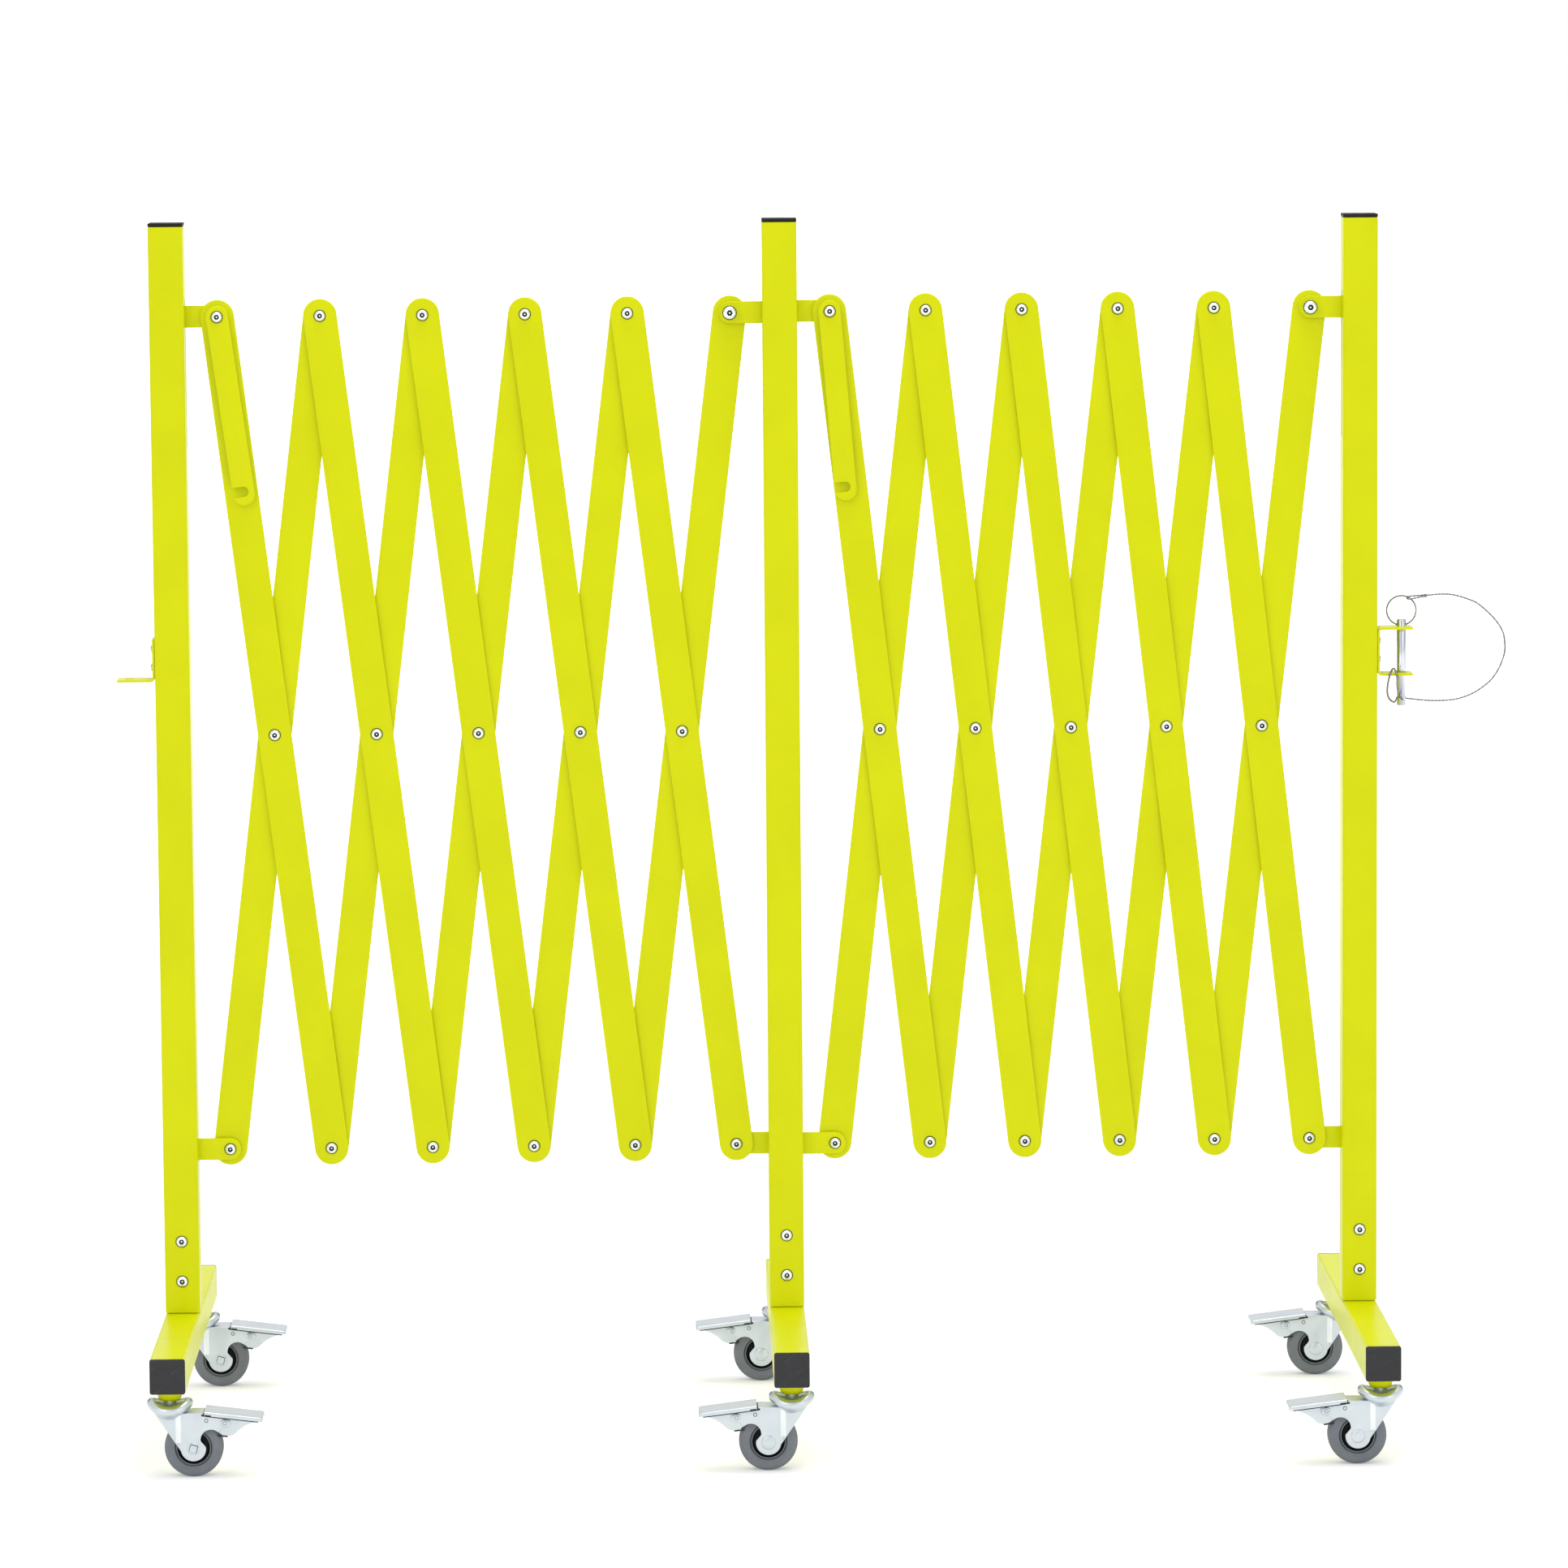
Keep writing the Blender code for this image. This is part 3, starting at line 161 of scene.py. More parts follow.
# Casters, from the floor under the stem, trailing along X
WHEEL_RADIUS = 0.025
AXLE_X = 0.020
FOLD_X = 0.0072
CROWN_LOW = 0.0535
CROWN_TOP = 0.0555
CROWN_FRONT = -0.0114
CROWN_REAR = AXLE_X + 0.0088
CROWN_FRONT_HALF = 0.0086
CROWN_REAR_HALF = 0.0112
PLATE_IN = 0.0105
PLATE_OUT = 0.0125
RIVET = (0.047, 0.047)
TREAD_START = 0.0298
TREAD_END = 0.079
TREAD_TOP = 0.0575
TREAD_DROP = 0.006
TREAD_HALF = 0.0165
LIP = 0.0033
PEDAL_CORNER = 0.0014
PEDAL_SHEET = 0.0013
PEDAL_TIP = 0.003
PEDAL_WALL = (0.0087, 0.0102)
AXLE_RADIUS = 0.0030
AXLE_TURN = 30
RIVET_RADIUS = 0.0022
DOME_RIM = 0.0002

# Front of the fork: its lean in degrees, and the raised bead along the bend behind it, half its size across and its
# heights; the bead is drawn in bright zinc as a painted highlight
FRONT_LEAN = 11
BEND_HALF = (0.0027, 0.0014)
BEND_LOW = 0.0305
BEND_HIGH = 0.0550

# Hole in the fork's side, drawn as a disc of painted shade, and the painted shadow lines along the seams of fork and
# pedal from end to end
FORK_HOLE = (0.0312, 0.0492)
FORK_SEAM = ((0.0278, 0.0538), (0.0336, 0.0530))
TREAD_SEAM = ((0.0306, 0.0544), (0.0350, 0.0538))
WALL_SEAM = ((0.0408, 0.0358), (0.0486, 0.0349))

# Brake pad, from its top at the fork down round its foot
PAD_HALF = 0.0070
PAD_OUTLINE = (
    (0.0458, 0.0520), (0.0458, 0.0380), (0.0466, 0.0368), (0.0492, 0.0358), (0.0500, 0.0364), (0.0500, 0.0515),
)

# Lower edge of a pedal's wall, from the fork to its tip
WALL_EDGE = (
    (0.0385, 0.0420),
    (0.0408, 0.0390),
    (0.0452, 0.0362),
    (0.0505, 0.0354),
    (0.0545, 0.0367),
    (0.0592, 0.0408),
    (0.0654, 0.0447),
    (0.0716, 0.0469),
    (0.0770, 0.0475),
)

# Coupling on the outer sides of the end posts; its screws' heads have a radius, a height and a socket
BRACKET_SHEET = 0.0023
BRACKET_HEAD = (0.0036, 0.0020, 0.0014)
BRACKET_SCREWS = {
    "clevis_screws": ("right", 1, (0.6675, 0.6834)),
    "receiver_screws": ("left", -1, (0.6700, 0.6860)),
}
PIN_X = STAND_X["right"] + 0.037
PIN_RADIUS = 0.004
PIN_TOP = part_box("coupling_pin")[1].z
PIN_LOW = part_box("coupling_pin")[0].z
PIN_END = 0.0026
PIN_ROUND = 0.0003
PIN_BREAK = 0.0010
RING_RADIUS = 0.0135
RING_WIRE = 0.00075
RING_HEIGHT = (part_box("pull_ring")[0].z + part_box("pull_ring")[1].z) / 2
CLIP_HEIGHT = PIN_TOP - 0.069
CLIP_WIRE = 0.0009
CLIP_PLANE = -0.0150
CLIP_LOOP = (0.0135, 0.0027, 0.0245)
CORD_RADIUS = 0.00075
EYE_ANGLE = 58.6
EYE_RISE = 7.5
EYE_ROLL = 25
EYE_SETBACK = 0.0017
EYE_SHOULDER = 0.0147
EYE_HALF = 0.0025
EYE_NECK = 0.0011
FERRULE_RADIUS = 0.0016
FERRULE_LENGTH = 0.004

# Clip from its elbow on: across, forward and up, as shares of its loop's width, elbow and height
CLIP_SHARES = (
    (-0.36, 0.0, 0.45),
    (-0.38, 0.0, 0.80),
    (-0.52, 0.0, 1.08),
    (-0.70, 0.0, 1.08),
    (-0.90, 0.0, 0.76),
    (-1.00, 0.0, 0.42),
    (-0.97, 0.0, 0.16),
    (-0.80, 0.0, 0.00),
    (-0.55, -0.6, -0.06),
    (-0.38, -1.0, 0.12),
)

# Lanyard from ferrule to pin, as places right of, behind and above the pin's lower hole
CORD_ROUTE = (
    (0.0354, 0.0000, 0.0905),
    (0.0460, 0.0005, 0.0895),
    (0.0570, 0.0010, 0.0862),
    (0.0670, 0.0010, 0.0815),
    (0.0800, 0.0010, 0.0697),
    (0.0875, 0.0010, 0.0590),
    (0.0900, 0.0010, 0.0490),
    (0.0898, 0.0010, 0.0385),
    (0.0855, 0.0010, 0.0262),
    (0.0788, 0.0008, 0.0160),
    (0.0700, 0.0006, 0.0085),
    (0.0610, 0.0004, 0.0032),
    (0.0500, 0.0002, -0.0006),
    (0.0400, 0.0000, -0.0020),
    (0.0280, 0.0000, -0.0023),
    (0.0170, 0.0000, -0.0015),
    (0.0100, 0.0000, -0.0007),
)

# Camera: its place, its turns in radians, and its focal length in pixels of the photograph
CAMERA_PLACE = (-0.0965, -6.3020, 1.2659)
CAMERA_YAW = 0.01736
CAMERA_PITCH = 0.11104
CAMERA_ROLL = -0.00753
FOCAL_PIXELS = 9000
IMAGE_PIXELS = 1932
SENSOR_WIDTH = 36

# Stage: the floor whitens between two distances, and each lamp has a place, a size and a power
WHITE = (1.0, 1.0, 1.0, 1.0)
FLOOR_HALF = 60.0
FLOOR_FADE = (1.2, 4.0, 0.24, 1.0)
SKY_LIGHT = 0.74
LIT_POINT = (0, 0, 0.5)
LAMPS = {
    "key": ((-2.6, -4.2, 3.4), 3.4, 36),
    "fill": ((3.2, -3.6, 2.2), 3.0, 18),
    "top": ((0.3, 0.2, 3.8), 3.0, 60),
}

# Two grey flags behind the barrier, by heading: how far back, how far aside, and how much they dim
FLAG_BACK = (0.62, 0.80, 0.0, 1.0)
FLAG_ASIDE = (0.17, 0.24, 0.0, 1.0)
FLAG_DIMMING = -0.85

# Noise in the finishes: its detail, and the part of its values that is spread
NOISE_DETAIL = 2.0
NOISE_RANGE = (0.3, 0.7)
SCRATCH_RANGE = (0.62, 0.75, 0.0, 1.0)


def linear(code):
    """An sRGB hex colour as linear red, green, blue and alpha."""
    shares = np.array([int(code[at:at + 2], 16) for at in (1, 3, 5)]) / 255
    curved = ((shares + 0.055) / 1.055) ** 2.4
    return (*np.where(shares <= 0.04045, shares / 12.92, curved).tolist(), 1.0)


# Surfaces worked out with numpy; each shell is its points and its faces


def ring_shell(rings, closed=False):
    """Skin over closed rings: point k of a ring joins point k of the next, and the ends are filled flat."""
    rings = np.asarray(rings, float)
    count, around = rings.shape[:2]
    index = np.arange(count * around).reshape(count, around)
    beside = np.roll(index, -1, axis=1)
    rows = count if closed else count - 1
    quads = np.stack([index, beside, np.roll(beside, -1, axis=0), np.roll(index, -1, axis=0)], axis=-1)
    faces = quads[:rows].reshape(-1, 4).tolist()
    if not closed:
        faces += [index[0, ::-1].tolist(), index[-1].tolist()]
    return rings.reshape(-1, 3), faces


def turned(radii, heights, steps=ROUND_STEPS, closed=False):
    """Surface of revolution about Z: a radius, even or given for each angle, times its cosine and sine."""
    angle = np.arange(steps) * 2 * math.pi / steps
    radii = np.array([radius + 0 * angle for radius in radii])
    heights = np.asarray(heights, float)[:, None] + 0 * angle
    return ring_shell(np.stack([radii * np.cos(angle), radii * np.sin(angle), heights], axis=-1), closed)


def polygon_radius(flat, sides, steps):
    """Radius of a regular polygon at even angles: half its width over the cosine of the angle from a flat."""
    angle = np.arange(steps) * 2 * math.pi / steps
    part = 2 * math.pi / sides
    return flat / np.cos(np.mod(angle, part) - part / 2)


def inset(outline, distance):
    """An anticlockwise outline moved inwards, each point along the mitre of its two edges."""
    ahead = np.roll(outline, -1, axis=0) - outline
    ahead = ahead / np.linalg.norm(ahead, axis=1, keepdims=True)
    inward = np.column_stack([-ahead[:, 1], ahead[:, 0]])
    before = np.roll(inward, 1, axis=0)
    lean = 1 + np.sum(inward * before, axis=1, keepdims=True)
    return outline + distance * (inward + before) / np.maximum(lean, 0.4)


def plate(outline, near, far, rounding):
    """Flat sheet across XZ between two places along Y, its edges a quarter circle of the rounding."""
    outline = np.asarray(outline, float)
    after = np.roll(outline, -1, axis=0)
    if np.sum(outline[:, 0] * after[:, 1] - after[:, 0] * outline[:, 1]) < 0:
        outline = outline[::-1]
    near, far = min(near, far), max(near, far)
    turn = np.radians([0, 30, 60, 90])
    drawn_in = rounding * (1 - np.sin(turn))
    depth = rounding * (1 - np.cos(turn))
    drawn_in = np.concatenate([drawn_in, drawn_in[::-1]])
    places = np.concatenate([near + depth, far - depth[::-1]])
    rings = [
        np.column_stack([ring[:, 0], np.full(len(ring), place), ring[:, 1]])
        for ring, place in zip([inset(outline, share) for share in drawn_in], places)
    ]
    return ring_shell(rings)


def carried(profile, path, first, closed=False):
    """A profile carried along a path: its across and up follow the path's turning with no twist of their own."""
    path = np.asarray(path, float)
    if closed:
        ahead = np.roll(path, -1, axis=0) - np.roll(path, 1, axis=0)
    else:
        ahead = np.gradient(path, axis=0)
    ahead = ahead / np.linalg.norm(ahead, axis=1, keepdims=True)
    across = np.empty_like(path)
    side = np.asarray(first, float)
    for step, along in enumerate(ahead):
        side = side - along * side.dot(along)
        side = side / np.linalg.norm(side)
        across[step] = side
    up = np.cross(ahead, across)
    profile = np.asarray(profile, float)
    rings = path[:, None] + profile[None, :, :1] * across[:, None] + profile[None, :, 1:] * up[:, None]
    return ring_shell(rings, closed)


def circle(radius, steps):
    """A circle's points: radius times cosine and sine."""
    angle = np.arange(steps) * 2 * math.pi / steps
    return radius * np.column_stack([np.cos(angle), np.sin(angle)])


def arc(x, z, radius, start, end, steps):
    """Part of a circle from one angle to another, in degrees."""
    angle = np.radians(np.linspace(start, end, steps + 1))
    return np.column_stack([x + radius * np.cos(angle), z + radius * np.sin(angle)])


def stadium(a, b, half, steps=END_STEPS):
    """A bar with round ends about two points: half a circle round each, facing away from the other."""
    heading = math.degrees(math.atan2(b[1] - a[1], b[0] - a[0]))
    return np.vstack([
        arc(a[0], a[1], half, heading + 90, heading + 270, steps),
        arc(b[0], b[1], half, heading - 90, heading + 90, steps),
    ])


def tongue(root, pivot, height, half):
    """A bar square at its root and round about its pivot."""
    side, start = (1, -90) if pivot > root else (-1, 90)
    end = arc(pivot, height, half, start, start + 180, END_STEPS)
    return np.vstack([[(root, height + side * half), (root, height - side * half)], end])


def rounded_square(half, corner):
    """A square whose corners are quarter circles."""
    far = half - corner
    middles = ((far, far), (-far, far), (-far, -far), (far, -far))
    return np.vstack([
        arc(x, z, corner, 90 * quarter, 90 * quarter + 90, CORNER_STEPS) for quarter, (x, z) in enumerate(middles)
    ])


def smooth_route(points, steps):
    """A curve through points: each stretch a cubic whose slope at a point is half the step across it."""
    points = np.asarray(points, float)
    spare = np.vstack([2 * points[0] - points[1], points, 2 * points[-1] - points[-2]])
    a, b, c, d = (spare[k:len(spare) - 3 + k, None] for k in range(4))
    t = (np.arange(steps) / steps)[None, :, None]
    route = b + (c - a) * t / 2
    route = route + (2 * a - 5 * b + 4 * c - d) * t ** 2 / 2
    route = route + (3 * b - a - 3 * c + d) * t ** 3 / 2
    return np.vstack([route.reshape(-1, points.shape[1]), points[-1]])


def rectangle(left, right, half):
    """Corners of a rectangle between two places, with a half width."""
    return [(left, -half), (right, -half), (right, half), (left, half)]


def moved(shell, x=0.0, y=0.0, z=0.0):
    """A shell shifted to a place."""
    return shell[0] + np.array([x, y, z]), shell[1]


def tilted(shell, degrees, axis):
    """A shell turned about an axis through the origin."""
    turn = np.array(Matrix.Rotation(math.radians(degrees), 3, axis))
    return shell[0] @ turn.T, shell[1]


def levelled(shell):
    """A sheet made across XZ laid level, its Y and Z exchanged."""
    return shell[0][:, [0, 2, 1]], shell[1]


def facing_front(shell):
    """A shell whose axis pointed up, turned to point to the front."""
    return tilted(shell, 90, "X")


def facing_back(shell):
    """A shell whose axis pointed up, turned to point to the back."""
    return tilted(shell, -90, "X")


def add_piece(name, groups, body, nodes=()):
    """One object made of shells, each group with its finish, riding on a body in place of CAD nodes."""
    shells = [shell for finish, group in groups for shell in group]
    starts = np.cumsum([0] + [len(points) for points, faces in shells])
    points = np.vstack([points for points, faces in shells])
    faces = [[corner + start for corner in face] for (_, part), start in zip(shells, starts) for face in part]
    mesh = bpy.data.meshes.new(name)
    mesh.from_pydata(points.tolist(), [], faces)
    work = bmesh.new()
    work.from_mesh(mesh)
    bmesh.ops.recalc_face_normals(work, faces=work.faces)
    work.to_mesh(mesh)
    work.free()
    mesh.shade_smooth()
    mesh.set_sharp_from_angle(angle=math.radians(SHARP_BEND))
    counts = [sum(len(faces) for points, faces in group) for finish, group in groups]
    mesh.polygons.foreach_set("material_index", np.repeat(np.arange(len(groups)), counts).astype(np.int32))
    for finish, group in groups:
        mesh.materials.append(bpy.data.materials[finish])
    made = bpy.data.objects.new(name, mesh)
    bpy.context.scene.collection.objects.link(made)
    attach(made, body)
    if nodes:
        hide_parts(*nodes)
    return made


def dress(node, finish):
    """Gives a carried-over CAD node its finish."""
    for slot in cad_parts[node].material_slots:
        slot.material = bpy.data.materials[finish]


# Finishes; a node that feeds another stands for its first output


def feed(tree, node, links):
    """Sets a node's sockets: each link is a socket with its value or with the output or node that feeds it."""
    for socket, value in links:
        if isinstance(value, bpy.types.Node):
            value = value.outputs[0]
        if isinstance(value, bpy.types.NodeSocket):
            tree.links.new(value, node.inputs[socket])
        else:
            node.inputs[socket].default_value = value


def add_node(tree, kind, links=(), **settings):
    """Adds a node with its settings and what feeds it."""
    made = tree.nodes.new("ShaderNode" + kind)
    for name, value in settings.items():
        setattr(made, name, value)
    feed(tree, made, links)
    return made


def new_finish(name):
    """An empty material: its tree, its object coordinates and a plain shader on its output."""
    finish = bpy.data.materials.new(name)
    finish.use_nodes = True
    tree = finish.node_tree
    tree.nodes.clear()
    place = add_node(tree, "TexCoord").outputs["Object"]
    shader = add_node(tree, "BsdfPrincipled")
    add_node(tree, "OutputMaterial", [("Surface", shader)])
    return tree, place, shader


def varied(tree, place, size, low, high):
    """Noise of a size in metres, spread between two values."""
    noise = add_node(tree, "TexNoise", [("Vector", place), ("Scale", 1 / size), ("Detail", NOISE_DETAIL)])
    return add_node(tree, "MapRange", enumerate((noise, *NOISE_RANGE, low, high)))


def clouded(tree, place, size, colour, other):
    """A colour that drifts between two tones in clouds of a size."""
    cloud = varied(tree, place, size, 0.0, 1.0)
    return add_node(tree, "Mix", [(0, cloud), (6, colour), (7, other)], data_type="RGBA").outputs[2]


def grained(tree, place, scale, strength, depth):
    """A surface roughened with fine noise: its scale along each axis, strength and depth."""
    stretched = add_node(tree, "Mapping", [("Vector", place), ("Scale", scale)])
    grain = add_node(tree, "TexNoise", [("Vector", stretched), ("Scale", 1.0), ("Detail", NOISE_DETAIL)])
    return add_node(tree, "Bump", [("Strength", strength), ("Distance", depth), ("Height", grain)])


def powder_coat(colour, darker):
    """Polyester powder coat, sprayed and baked: a flat bright colour with a faint orange peel and little shine."""
    tree, place, shader = new_finish("powder_coat")
    feed(tree, shader, [
        ("Base Color", clouded(tree, place, 0.060, colour, darker)),
        # Orange peel is about 1.2 mm across on such a coat, drawn at 3 mm to show
        ("Normal", grained(tree, place, (330, 330, 330), 0.02, 0.0003)),
        ("Roughness", varied(tree, place, 0.012, 0.30, 0.36)),
        ("Specular IOR Level", 0.16),
    ])


def zinc_plate(name, colour, darker):
    """Bright zinc plate, passivated pale blue on steel: a soft satin metal with faint clouds."""
    tree, place, shader = new_finish(name)
    feed(tree, shader, [
        ("Base Color", clouded(tree, place, 0.018, colour, darker)),
        # Rolling grain of the sheet runs along X, some 0.3 mm wide, drawn at 0.8 mm
        ("Normal", grained(tree, place, (190, 1250, 1250), 0.01, 0.0001)),
        ("Roughness", varied(tree, place, 0.010, 0.30, 0.36)),
        ("Metallic", 0.9),
    ])


def dark_grease(colour, darker):
    """Painted shade: a dull near-black, faintly clouded, laid in sockets, seams and gaps of the metal where shade
    falls, so it draws a dark line there.
    """
    tree, place, shader = new_finish("dark_grease")
    feed(tree, shader, [("Base Color", clouded(tree, place, 0.001, colour, darker)), ("Roughness", 0.6)])


def drawn_steel(name, colour, darker):
    """Steel drawn through a die and tumbled: smooth, nearly a mirror, with draw marks that run up and down."""
    tree, place, shader = new_finish(name)
    # Draw marks 0.8 mm wide and some 60 mm long
    drawn = add_node(tree, "Mapping", [("Vector", place), ("Scale", (0.0008, 0.0008, 0.06))], vector_type="TEXTURE")
    feed(tree, shader, [
        ("Base Color", clouded(tree, drawn, 1.0, colour, darker)),
        ("Roughness", varied(tree, place, 0.002, 0.10, 0.18)),
        ("Metallic", 1.0),
    ])


def stranded_wire(colour, darker):
    """Thin steel rope of seven strands: duller and greyer than the pin, with shade between the strands."""
    tree, place, shader = new_finish("stranded_wire")
    # A gap between strands comes round every 1.7 mm or so, drawn at 3 mm to show
    strands = add_node(tree, "TexWave", [("Vector", place), ("Scale", 100.0), ("Distortion", 1.5)])
    tone = add_node(tree, "Mix", [(0, strands.outputs["Fac"]), (6, colour), (7, darker)], data_type="RGBA")
    feed(tree, shader, [("Base Color", tone.outputs[2]), ("Metallic", 0.6), ("Roughness", 0.45)])


def tyre_rubber(colour, darker):
    """Moulded grey rubber: matt, with a fine mould grain and faintly dusty patches."""
    tree, place, shader = new_finish("tyre_rubber")
    feed(tree, shader, [
        ("Base Color", clouded(tree, place, 0.010, colour, darker)),
        # Spark-eroded mould grain is about 0.1 mm, drawn at 0.7 mm
        ("Normal", grained(tree, place, (1400, 1400, 1400), 0.10, 0.0002)),
        ("Roughness", varied(tree, place, 0.006, 0.55, 0.70)),
    ])


def moulded_plastic(name, colour, rubbed):
    """Black polyethylene, moulded and handled: satin, with a few faint pale scratches that run askew."""
    tree, place, shader = new_finish(name)
    # Scratches 1 mm wide and some 14 mm long
    leaning = add_node(tree, "Mapping", [
        ("Vector", place), ("Rotation", (0.0, math.radians(58), 0.0)), ("Scale", (0.001, 0.001, 0.014)),
    ], vector_type="TEXTURE")
    marks = add_node(tree, "TexNoise", [("Vector", leaning), ("Scale", 1.0), ("Detail", NOISE_DETAIL)])
    faint = add_node(tree, "MapRange", enumerate((marks, *SCRATCH_RANGE)))
    tone = add_node(tree, "Mix", [(0, faint), (6, colour), (7, rubbed)], data_type="RGBA")
    feed(tree, shader, [
        ("Base Color", tone.outputs[2]),
        ("Roughness", varied(tree, place, 0.008, 0.45, 0.60)),
        ("Specular IOR Level", 0.25),
    ])


# Shells of the barrier's own pieces


def button_head(radius, height, socket):
    """Button head on height 0 and its dark parts: an ellipse from rim to crown, a hexagon down to a pip; the dark parts
    are painted shade lining the socket and a painted shadow line round the rim.
    """
    swell = np.radians(np.linspace(0, 62, 7))
    hexagon = polygon_radius(socket, 6, ROUND_STEPS)
    rim = 0.12 * height
    dome = rim + (height - rim) * np.sin(swell) / math.sin(swell[-1])
    head = turned(
        [radius * 0.97, *(radius * np.cos(swell)), hexagon * 1.10, hexagon * 1.02, hexagon * 1.02],
        [0, *dome, height, height * 0.93, height * 0.25],
    )
    pip = turned([socket * 0.38, socket * 0.38, socket * 0.25], [height * 0.20, height * 0.50, height * 0.55])
    # Painted shade lining the hexagon socket
    cup = turned(
        [hexagon * 1.01, hexagon * 1.01, hexagon * 0.97, hexagon * 0.97, socket * 0.1],
        [height * 0.28, height * 0.90, height * 0.90, height * 0.42, height * 0.36],
    )
    # A thin dark disc just wider than the head: a painted shadow line round its rim
    line = washer(radius + 0.0006, 0, 0.0003)
    return [head, pip], [cup, line]


def lock_nut(flat, height):
    """Hexagon nut on height 0 with a round collar and the screw's end: a hexagon cut by a cone at both faces."""
    hexagon = polygon_radius(flat, 6, ROUND_STEPS)
    trimmed = np.minimum(hexagon, flat * 1.05)
    radii = [trimmed, hexagon, hexagon, trimmed, flat * 0.86, flat * 0.80, SHANK * 1.08, SHANK * 1.04]
    heights = [0, 0.0005, height * 0.62, height * 0.70, height * 0.74, height * 0.96, height, height * 0.9]
    radii += [SHANK, SHANK * 0.8]
    heights += [height * 0.98, height * 1.1]
    return turned(radii, heights)


def washer(radius, low, high):
    """Round disc between two heights, its edges just broken."""
    return turned([radius * 0.97, radius, radius, radius * 0.97], [low, low + 0.0001, high - 0.0001, high])


def domed_head(radius, rise, steps=ROUND_STEPS):
    """A domed head on height 0: the radius times a cosine out, a low rim and the rise times a sine up."""
    swell = np.radians(np.linspace(0, 80, 6))
    return turned([radius, *(radius * np.cos(swell))], [0, *(DOME_RIM + rise * np.sin(swell))], steps)


def front_head(x, y, z, radius, height, socket):
    """A button head that faces the front: its metal, and its painted shade in the socket and round the rim."""
    groups = button_head(radius, height, socket)
    return [[moved(facing_front(shell), x, y, z) for shell in shells] for shells in groups]


def pivot_screw(x, z, seat=-OUTSIDE, radius=HEAD_RADIUS, height=HEAD_HEIGHT):
    """A pivot's screw: washer between the layers, washer and nut behind, head in front, and the head's painted shade.
    """
    head, dark = front_head(x, seat, z, radius, height, SOCKET_RADIUS)
    shells = [
        facing_front(washer(PIVOT_WASHER, -LAYER_GAP / 2, LAYER_GAP / 2)),
        moved(facing_back(washer(NUT_WASHER, 0, NUT_WASHER_SHEET)), y=OUTSIDE),
        moved(facing_back(lock_nut(NUT_FLAT, NUT_HEIGHT)), y=OUTSIDE + NUT_WASHER_SHEET),
    ]
    return [moved(shell, x, 0, z) for shell in shells] + head, dark


def gathered(*pairs, finish="bright_zinc"):
    """Shells of several screws as two groups: their metal in a finish, and their painted shade in sockets and round
    rims.
    """
    metal = [shell for bright, dark in pairs for shell in bright]
    sockets = [shell for bright, dark in pairs for shell in dark]
    return [(finish, metal), ("dark_grease", sockets)]


def box_tube(half, wall, low, high, corner):
    """Square tube along Z: a rounded square outside, a smaller one inside, joined at both ends."""
    outer = rounded_square(half, corner)
    inner = rounded_square(half - wall, max(corner - wall, 0.0004))
    levels = ((outer, low), (outer, high), (inner, high), (inner, low))
    rings = [np.column_stack([ring, np.full(len(ring), level)]) for ring, level in levels]
    return ring_shell(rings, closed=True)


def slotted_outline(half, corner):
    """A rounded square with the edges of the arms' slots marked on its right and left sides."""
    far = half - corner
    marks = np.array([-SLOT_FAR, -SLOT_NEAR, SLOT_NEAR, SLOT_FAR])
    return np.vstack([
        np.column_stack([np.full(4, half), marks]),
        arc(far, far, corner, 0, 90, CORNER_STEPS),
        arc(-far, far, corner, 90, 180, CORNER_STEPS),
        np.column_stack([np.full(4, -half), marks[::-1]]),
        arc(-far, -far, corner, 180, 270, CORNER_STEPS),
        arc(far, -far, corner, 270, 360, CORNER_STEPS),
    ])


def post_shell(corner, slots):
    """Post tube: rings of a rounded square up the outside and down the inside, left open at each slot."""
    outer = slotted_outline(TUBE_HALF, corner)
    inner = slotted_outline(BORE_HALF, max(corner - WALL, 0.0004))
    levels = (POST_LOW, SLOT_LOW, SLOT_HIGH, POST_TOP)
    sides = [(outer, level) for level in levels] + [(inner, level) for level in levels[::-1]]
    rings = [np.column_stack([ring, np.full(len(ring), level)]) for ring, level in sides]
    points, faces = ring_shell(rings, closed=True)
    around = len(outer)
    # The left side's marks come after the right side's four and two corners
    left_start = 4 + 2 * (CORNER_STEPS + 1)
    for side, layer in slots:
        column = (0 if layer < 0 else 2) if side > 0 else left_start + (2 if layer < 0 else 0)
        beside = column + 1
        faces[around + column] = None
        faces[5 * around + column] = None
        # A slot's ends are rows 1 and 2 on the outside, and 5 and 6 in the bore
        corners = [(row * around + column, row * around + beside) for row in (1, 2, 5, 6)]
        (a, a2), (b, b2), (c, c2), (d, d2) = corners
        faces += [[a, a2, d2, d], [b, b2, c2, c], [a, b, c, d], [a2, b2, c2, d2]]
    return points, [face for face in faces if face]


def fork_outlines():
    """Side of a fork in two: a sloping front to the fold, and behind it a lobe, a round notch and the pedal's ear."""
    top = (-0.0124, CROWN_TOP - 0.0010)
    lobe = arc(AXLE_X, WHEEL_RADIUS, 0.0107, 190, 368, 30)
    share = (FOLD_X - top[0]) / (lobe[0, 0] - top[0])
    foot = (FOLD_X, top[1] + share * (lobe[0, 1] - top[1]))
    notch = arc(AXLE_X + 0.015, WHEEL_RADIUS + 0.0075, 0.0088, 185, 48, 18)
    ear = arc(RIVET[0], RIVET[1], 0.0045, -62, 62, 12)
    front = np.vstack([[top, foot, (FOLD_X, CROWN_TOP), (CROWN_FRONT, CROWN_TOP)]])
    back = np.vstack([
        [foot],
        lobe,
        notch,
        [(RIVET[0] - 0.0028, RIVET[1] - 0.0047)],
        ear,
        [(TREAD_START - 0.001, CROWN_TOP - 0.0018), (TREAD_START - 0.0012, CROWN_TOP), (FOLD_X, CROWN_TOP)],
    ])
    return front, back


